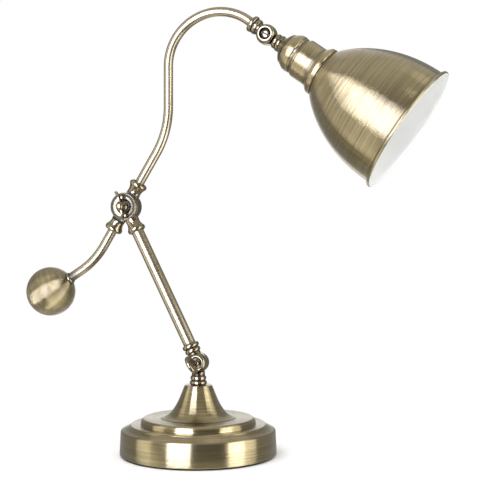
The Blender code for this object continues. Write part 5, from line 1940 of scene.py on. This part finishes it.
@dataclass
class Studio:
    """Pale floor, soft boxes, cards and the camera; sizes in metres."""

    distance: float = 1.054
    height: float = 0.2136
    swing: float = 18.05
    yaw: float = 2.2574
    lens: float = 79.2
    ambient: float = 0.79
    reach: float = 3.0
    middle: float = 0.15
    box_distance: float = 2.0
    floor_radius: float = 1.6
    fade: Point = (0.2, 0.55)    # radii between which the floor goes clear
    boxes: tuple = (SoftBox("soft_box_top", -35.0, 62.0, 1.5, 3.0),
                    SoftBox("soft_box_side", 80.0, 8.0, 1.2, 2.6))
    cards: tuple = (
        Card("card_key", -45.0, -12.0, -26.0, 34.0, 8.8, (0.97, 1.0, 1.32)),
        Card("card_over_key", -45.0, -12.0, 34.0, 44.0, 0.15),
        Card("card_under_key", -45.0, -12.0, -60.0, -26.0, 0.6),
        Card("card_dim_left", -73.0, -45.0, -60.0, 44.0, 0.5),
        Card("card_left", -100.0, -73.0, -60.0, 44.0, 1.5),
        Card("card_front", -12.0, 44.0, -60.0, 44.0, 0.2),
        Card("card_cream", 44.0, 70.0, -40.0, 24.0, 4.6, (1.0, 1.0, 1.1)),
        Card("card_over_cream", 44.0, 70.0, 24.0, 44.0, 0.3),
        Card("card_under_cream", 44.0, 70.0, -60.0, -40.0, 0.4),
        Card("card_right", 70.0, 92.0, -60.0, 44.0, 1.8),
        Card("card_rear_left", -169.0, -100.0, -60.0, 44.0, 0.32),
        Card("card_rear_right", 92.0, 169.0, -60.0, 44.0, 0.32),
        Card("card_sky", -180.0, 180.0, 44.0, 90.0, 0.7),
        Card("card_ground", -180.0, 180.0, -90.0, -60.0, 1.2))

    def heading(self, across: float, up: float = 0.0) -> Vector:
        """Direction from the lamp.

        Args:
            across: degrees to the right of the camera's side.
            up: degrees above level.

        Returns:
            The unit direction.
        """
        a, b = math.radians(self.swing + across), math.radians(up)
        return Vector((math.sin(a) * math.cos(b), -math.cos(a) * math.cos(b), math.sin(b)))

    def camera(self) -> None:
        """Level camera in front of the lamp, a little to its right."""
        data = bpy.data.cameras.new("camera")
        data.lens, data.sensor_width, data.clip_end = self.lens, 36.0, 50.0
        view = linked("camera", data)
        view.location = self.heading(0.0) * self.distance + UP * self.height
        turn = math.radians(self.yaw)
        look = self.heading(90.0) * math.sin(turn) - self.heading(0.0) * math.cos(turn)
        view.rotation_euler = look.to_track_quat("-Z", "Y").to_euler()
        bpy.context.scene.camera = view

    def lamps(self) -> None:
        """Soft boxes that light the pale surfaces and stay out of the metal."""
        for box in self.boxes:
            data = bpy.data.lights.new(box.name, "AREA")
            data.shape, data.size = "SQUARE", box.size
            data.energy = box.glow * math.pi * box.size ** 2
            lamp = linked(box.name, data)
            away = self.heading(box.across, box.up)
            lamp.location = away * self.box_distance
            lamp.rotation_euler = away.to_track_quat("Z", "Y").to_euler()
            lamp.visible_camera = lamp.visible_glossy = False

    def prop(self, name: str, bm: bmesh.types.BMesh, material: bpy.types.Material,
             *hidden: str) -> None:
        """Adds a mesh that belongs to the stage.

        Args:
            name: of the object.
            bm: its shape.
            material: its material.
            hidden: kinds of rays that don't see it.
        """
        mesh = settled(bm, name)
        mesh.materials.append(material)
        obj = linked(name, mesh)
        for kind in hidden:
            setattr(obj, f"visible_{kind}", False)

    def stand(self, card: Card) -> None:
        """Sets one card up.

        Args:
            card: what it is and where.
        """
        bm = bmesh.new()
        wide, tall = card.right - card.left, card.high - card.low
        columns, rows = max(int(wide / 4), 2), 8
        grid = [[bm.verts.new(self.heading(card.left + wide * i / columns, card.low + tall * k / rows)
                              * self.reach + UP * self.middle) for i in range(columns + 1)]
                for k in range(rows + 1)]
        for low, high in zip(grid, grid[1:]):
            for i in range(columns):
                bm.faces.new((low[i], low[i + 1], high[i + 1], high[i]))
        paint = Paint(card.name)
        shade = colour(*(c * card.tone for c in card.tint))
        glow = paint.close(paint.node("ShaderNodeEmission", None, {"Color": shade, "Strength": 1.0}))
        self.prop(card.name, bm, glow, "camera", "diffuse", "shadow")

    def floor(self) -> None:
        """Pale floor that keeps the shadow and fades into the white background."""
        bm = bmesh.new()
        bmesh.ops.create_circle(bm, cap_ends=True, segments=96, radius=self.floor_radius)
        paint = Paint("floor_white")
        x, y, _ = paint.split(paint.place())
        away = (x * x + y * y) ** 0.5
        matt = paint.node("ShaderNodeBsdfDiffuse", None, {"Color": colour(0.94, 0.94, 0.94)})
        clear = paint.node("ShaderNodeBsdfTransparent")
        mixed = paint.node("ShaderNodeMixShader", None,
                           {0: away.ramp(*self.fade), 1: matt.outputs[0], 2: clear.outputs[0]})
        self.prop("floor", bm, paint.close(mixed), "glossy")

    def world(self) -> None:
        """White for what the camera, metal and glass see, softer for what lights the lamp."""
        world = bpy.data.worlds.new("studio")
        world.use_nodes = True
        bpy.context.scene.world = world
        graph = Graph(world.node_tree)
        graph.tree.nodes.clear()
        path = graph.node("ShaderNodeLightPath")
        camera, gloss, glass = (Value(graph, path.outputs[f"Is {kind} Ray"])
                                for kind in ("Camera", "Glossy", "Transmission"))
        strength = camera.larger(gloss).larger(glass) * (1.0 - self.ambient) + self.ambient
        light = graph.node("ShaderNodeBackground", None, {"Color": colour(1, 1, 1), "Strength": strength})
        graph.node("ShaderNodeOutputWorld", None, {"Surface": light.outputs[0]})

    def build(self) -> None:
        """Sets the whole studio up."""
        self.camera()
        self.lamps()
        for card in self.cards:
            self.stand(card)
        self.floor()
        self.world()
        bpy.context.scene.view_settings.view_transform = "Standard"
        LOG.info("studio ready, %d soft boxes and %d cards", len(self.boxes), len(self.cards))


def main() -> None:
    """Builds the studio and every piece of the lamp on its frame."""
    logging.basicConfig(level=logging.INFO, format="%(name)s %(message)s")
    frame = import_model()
    shop = Workshop(frame)
    Studio().build()
    arm = LowerArm(shop)
    for part in (Base(shop), ThumbScrew(shop), arm, LeverHub(shop, arm=arm), UpperArm(shop),
                 Counterweight(shop), Head(shop)):
        LOG.info("building %s", type(part).__name__)
        part.build()
    shop.wear()


if __name__ == "__main__":
    main()
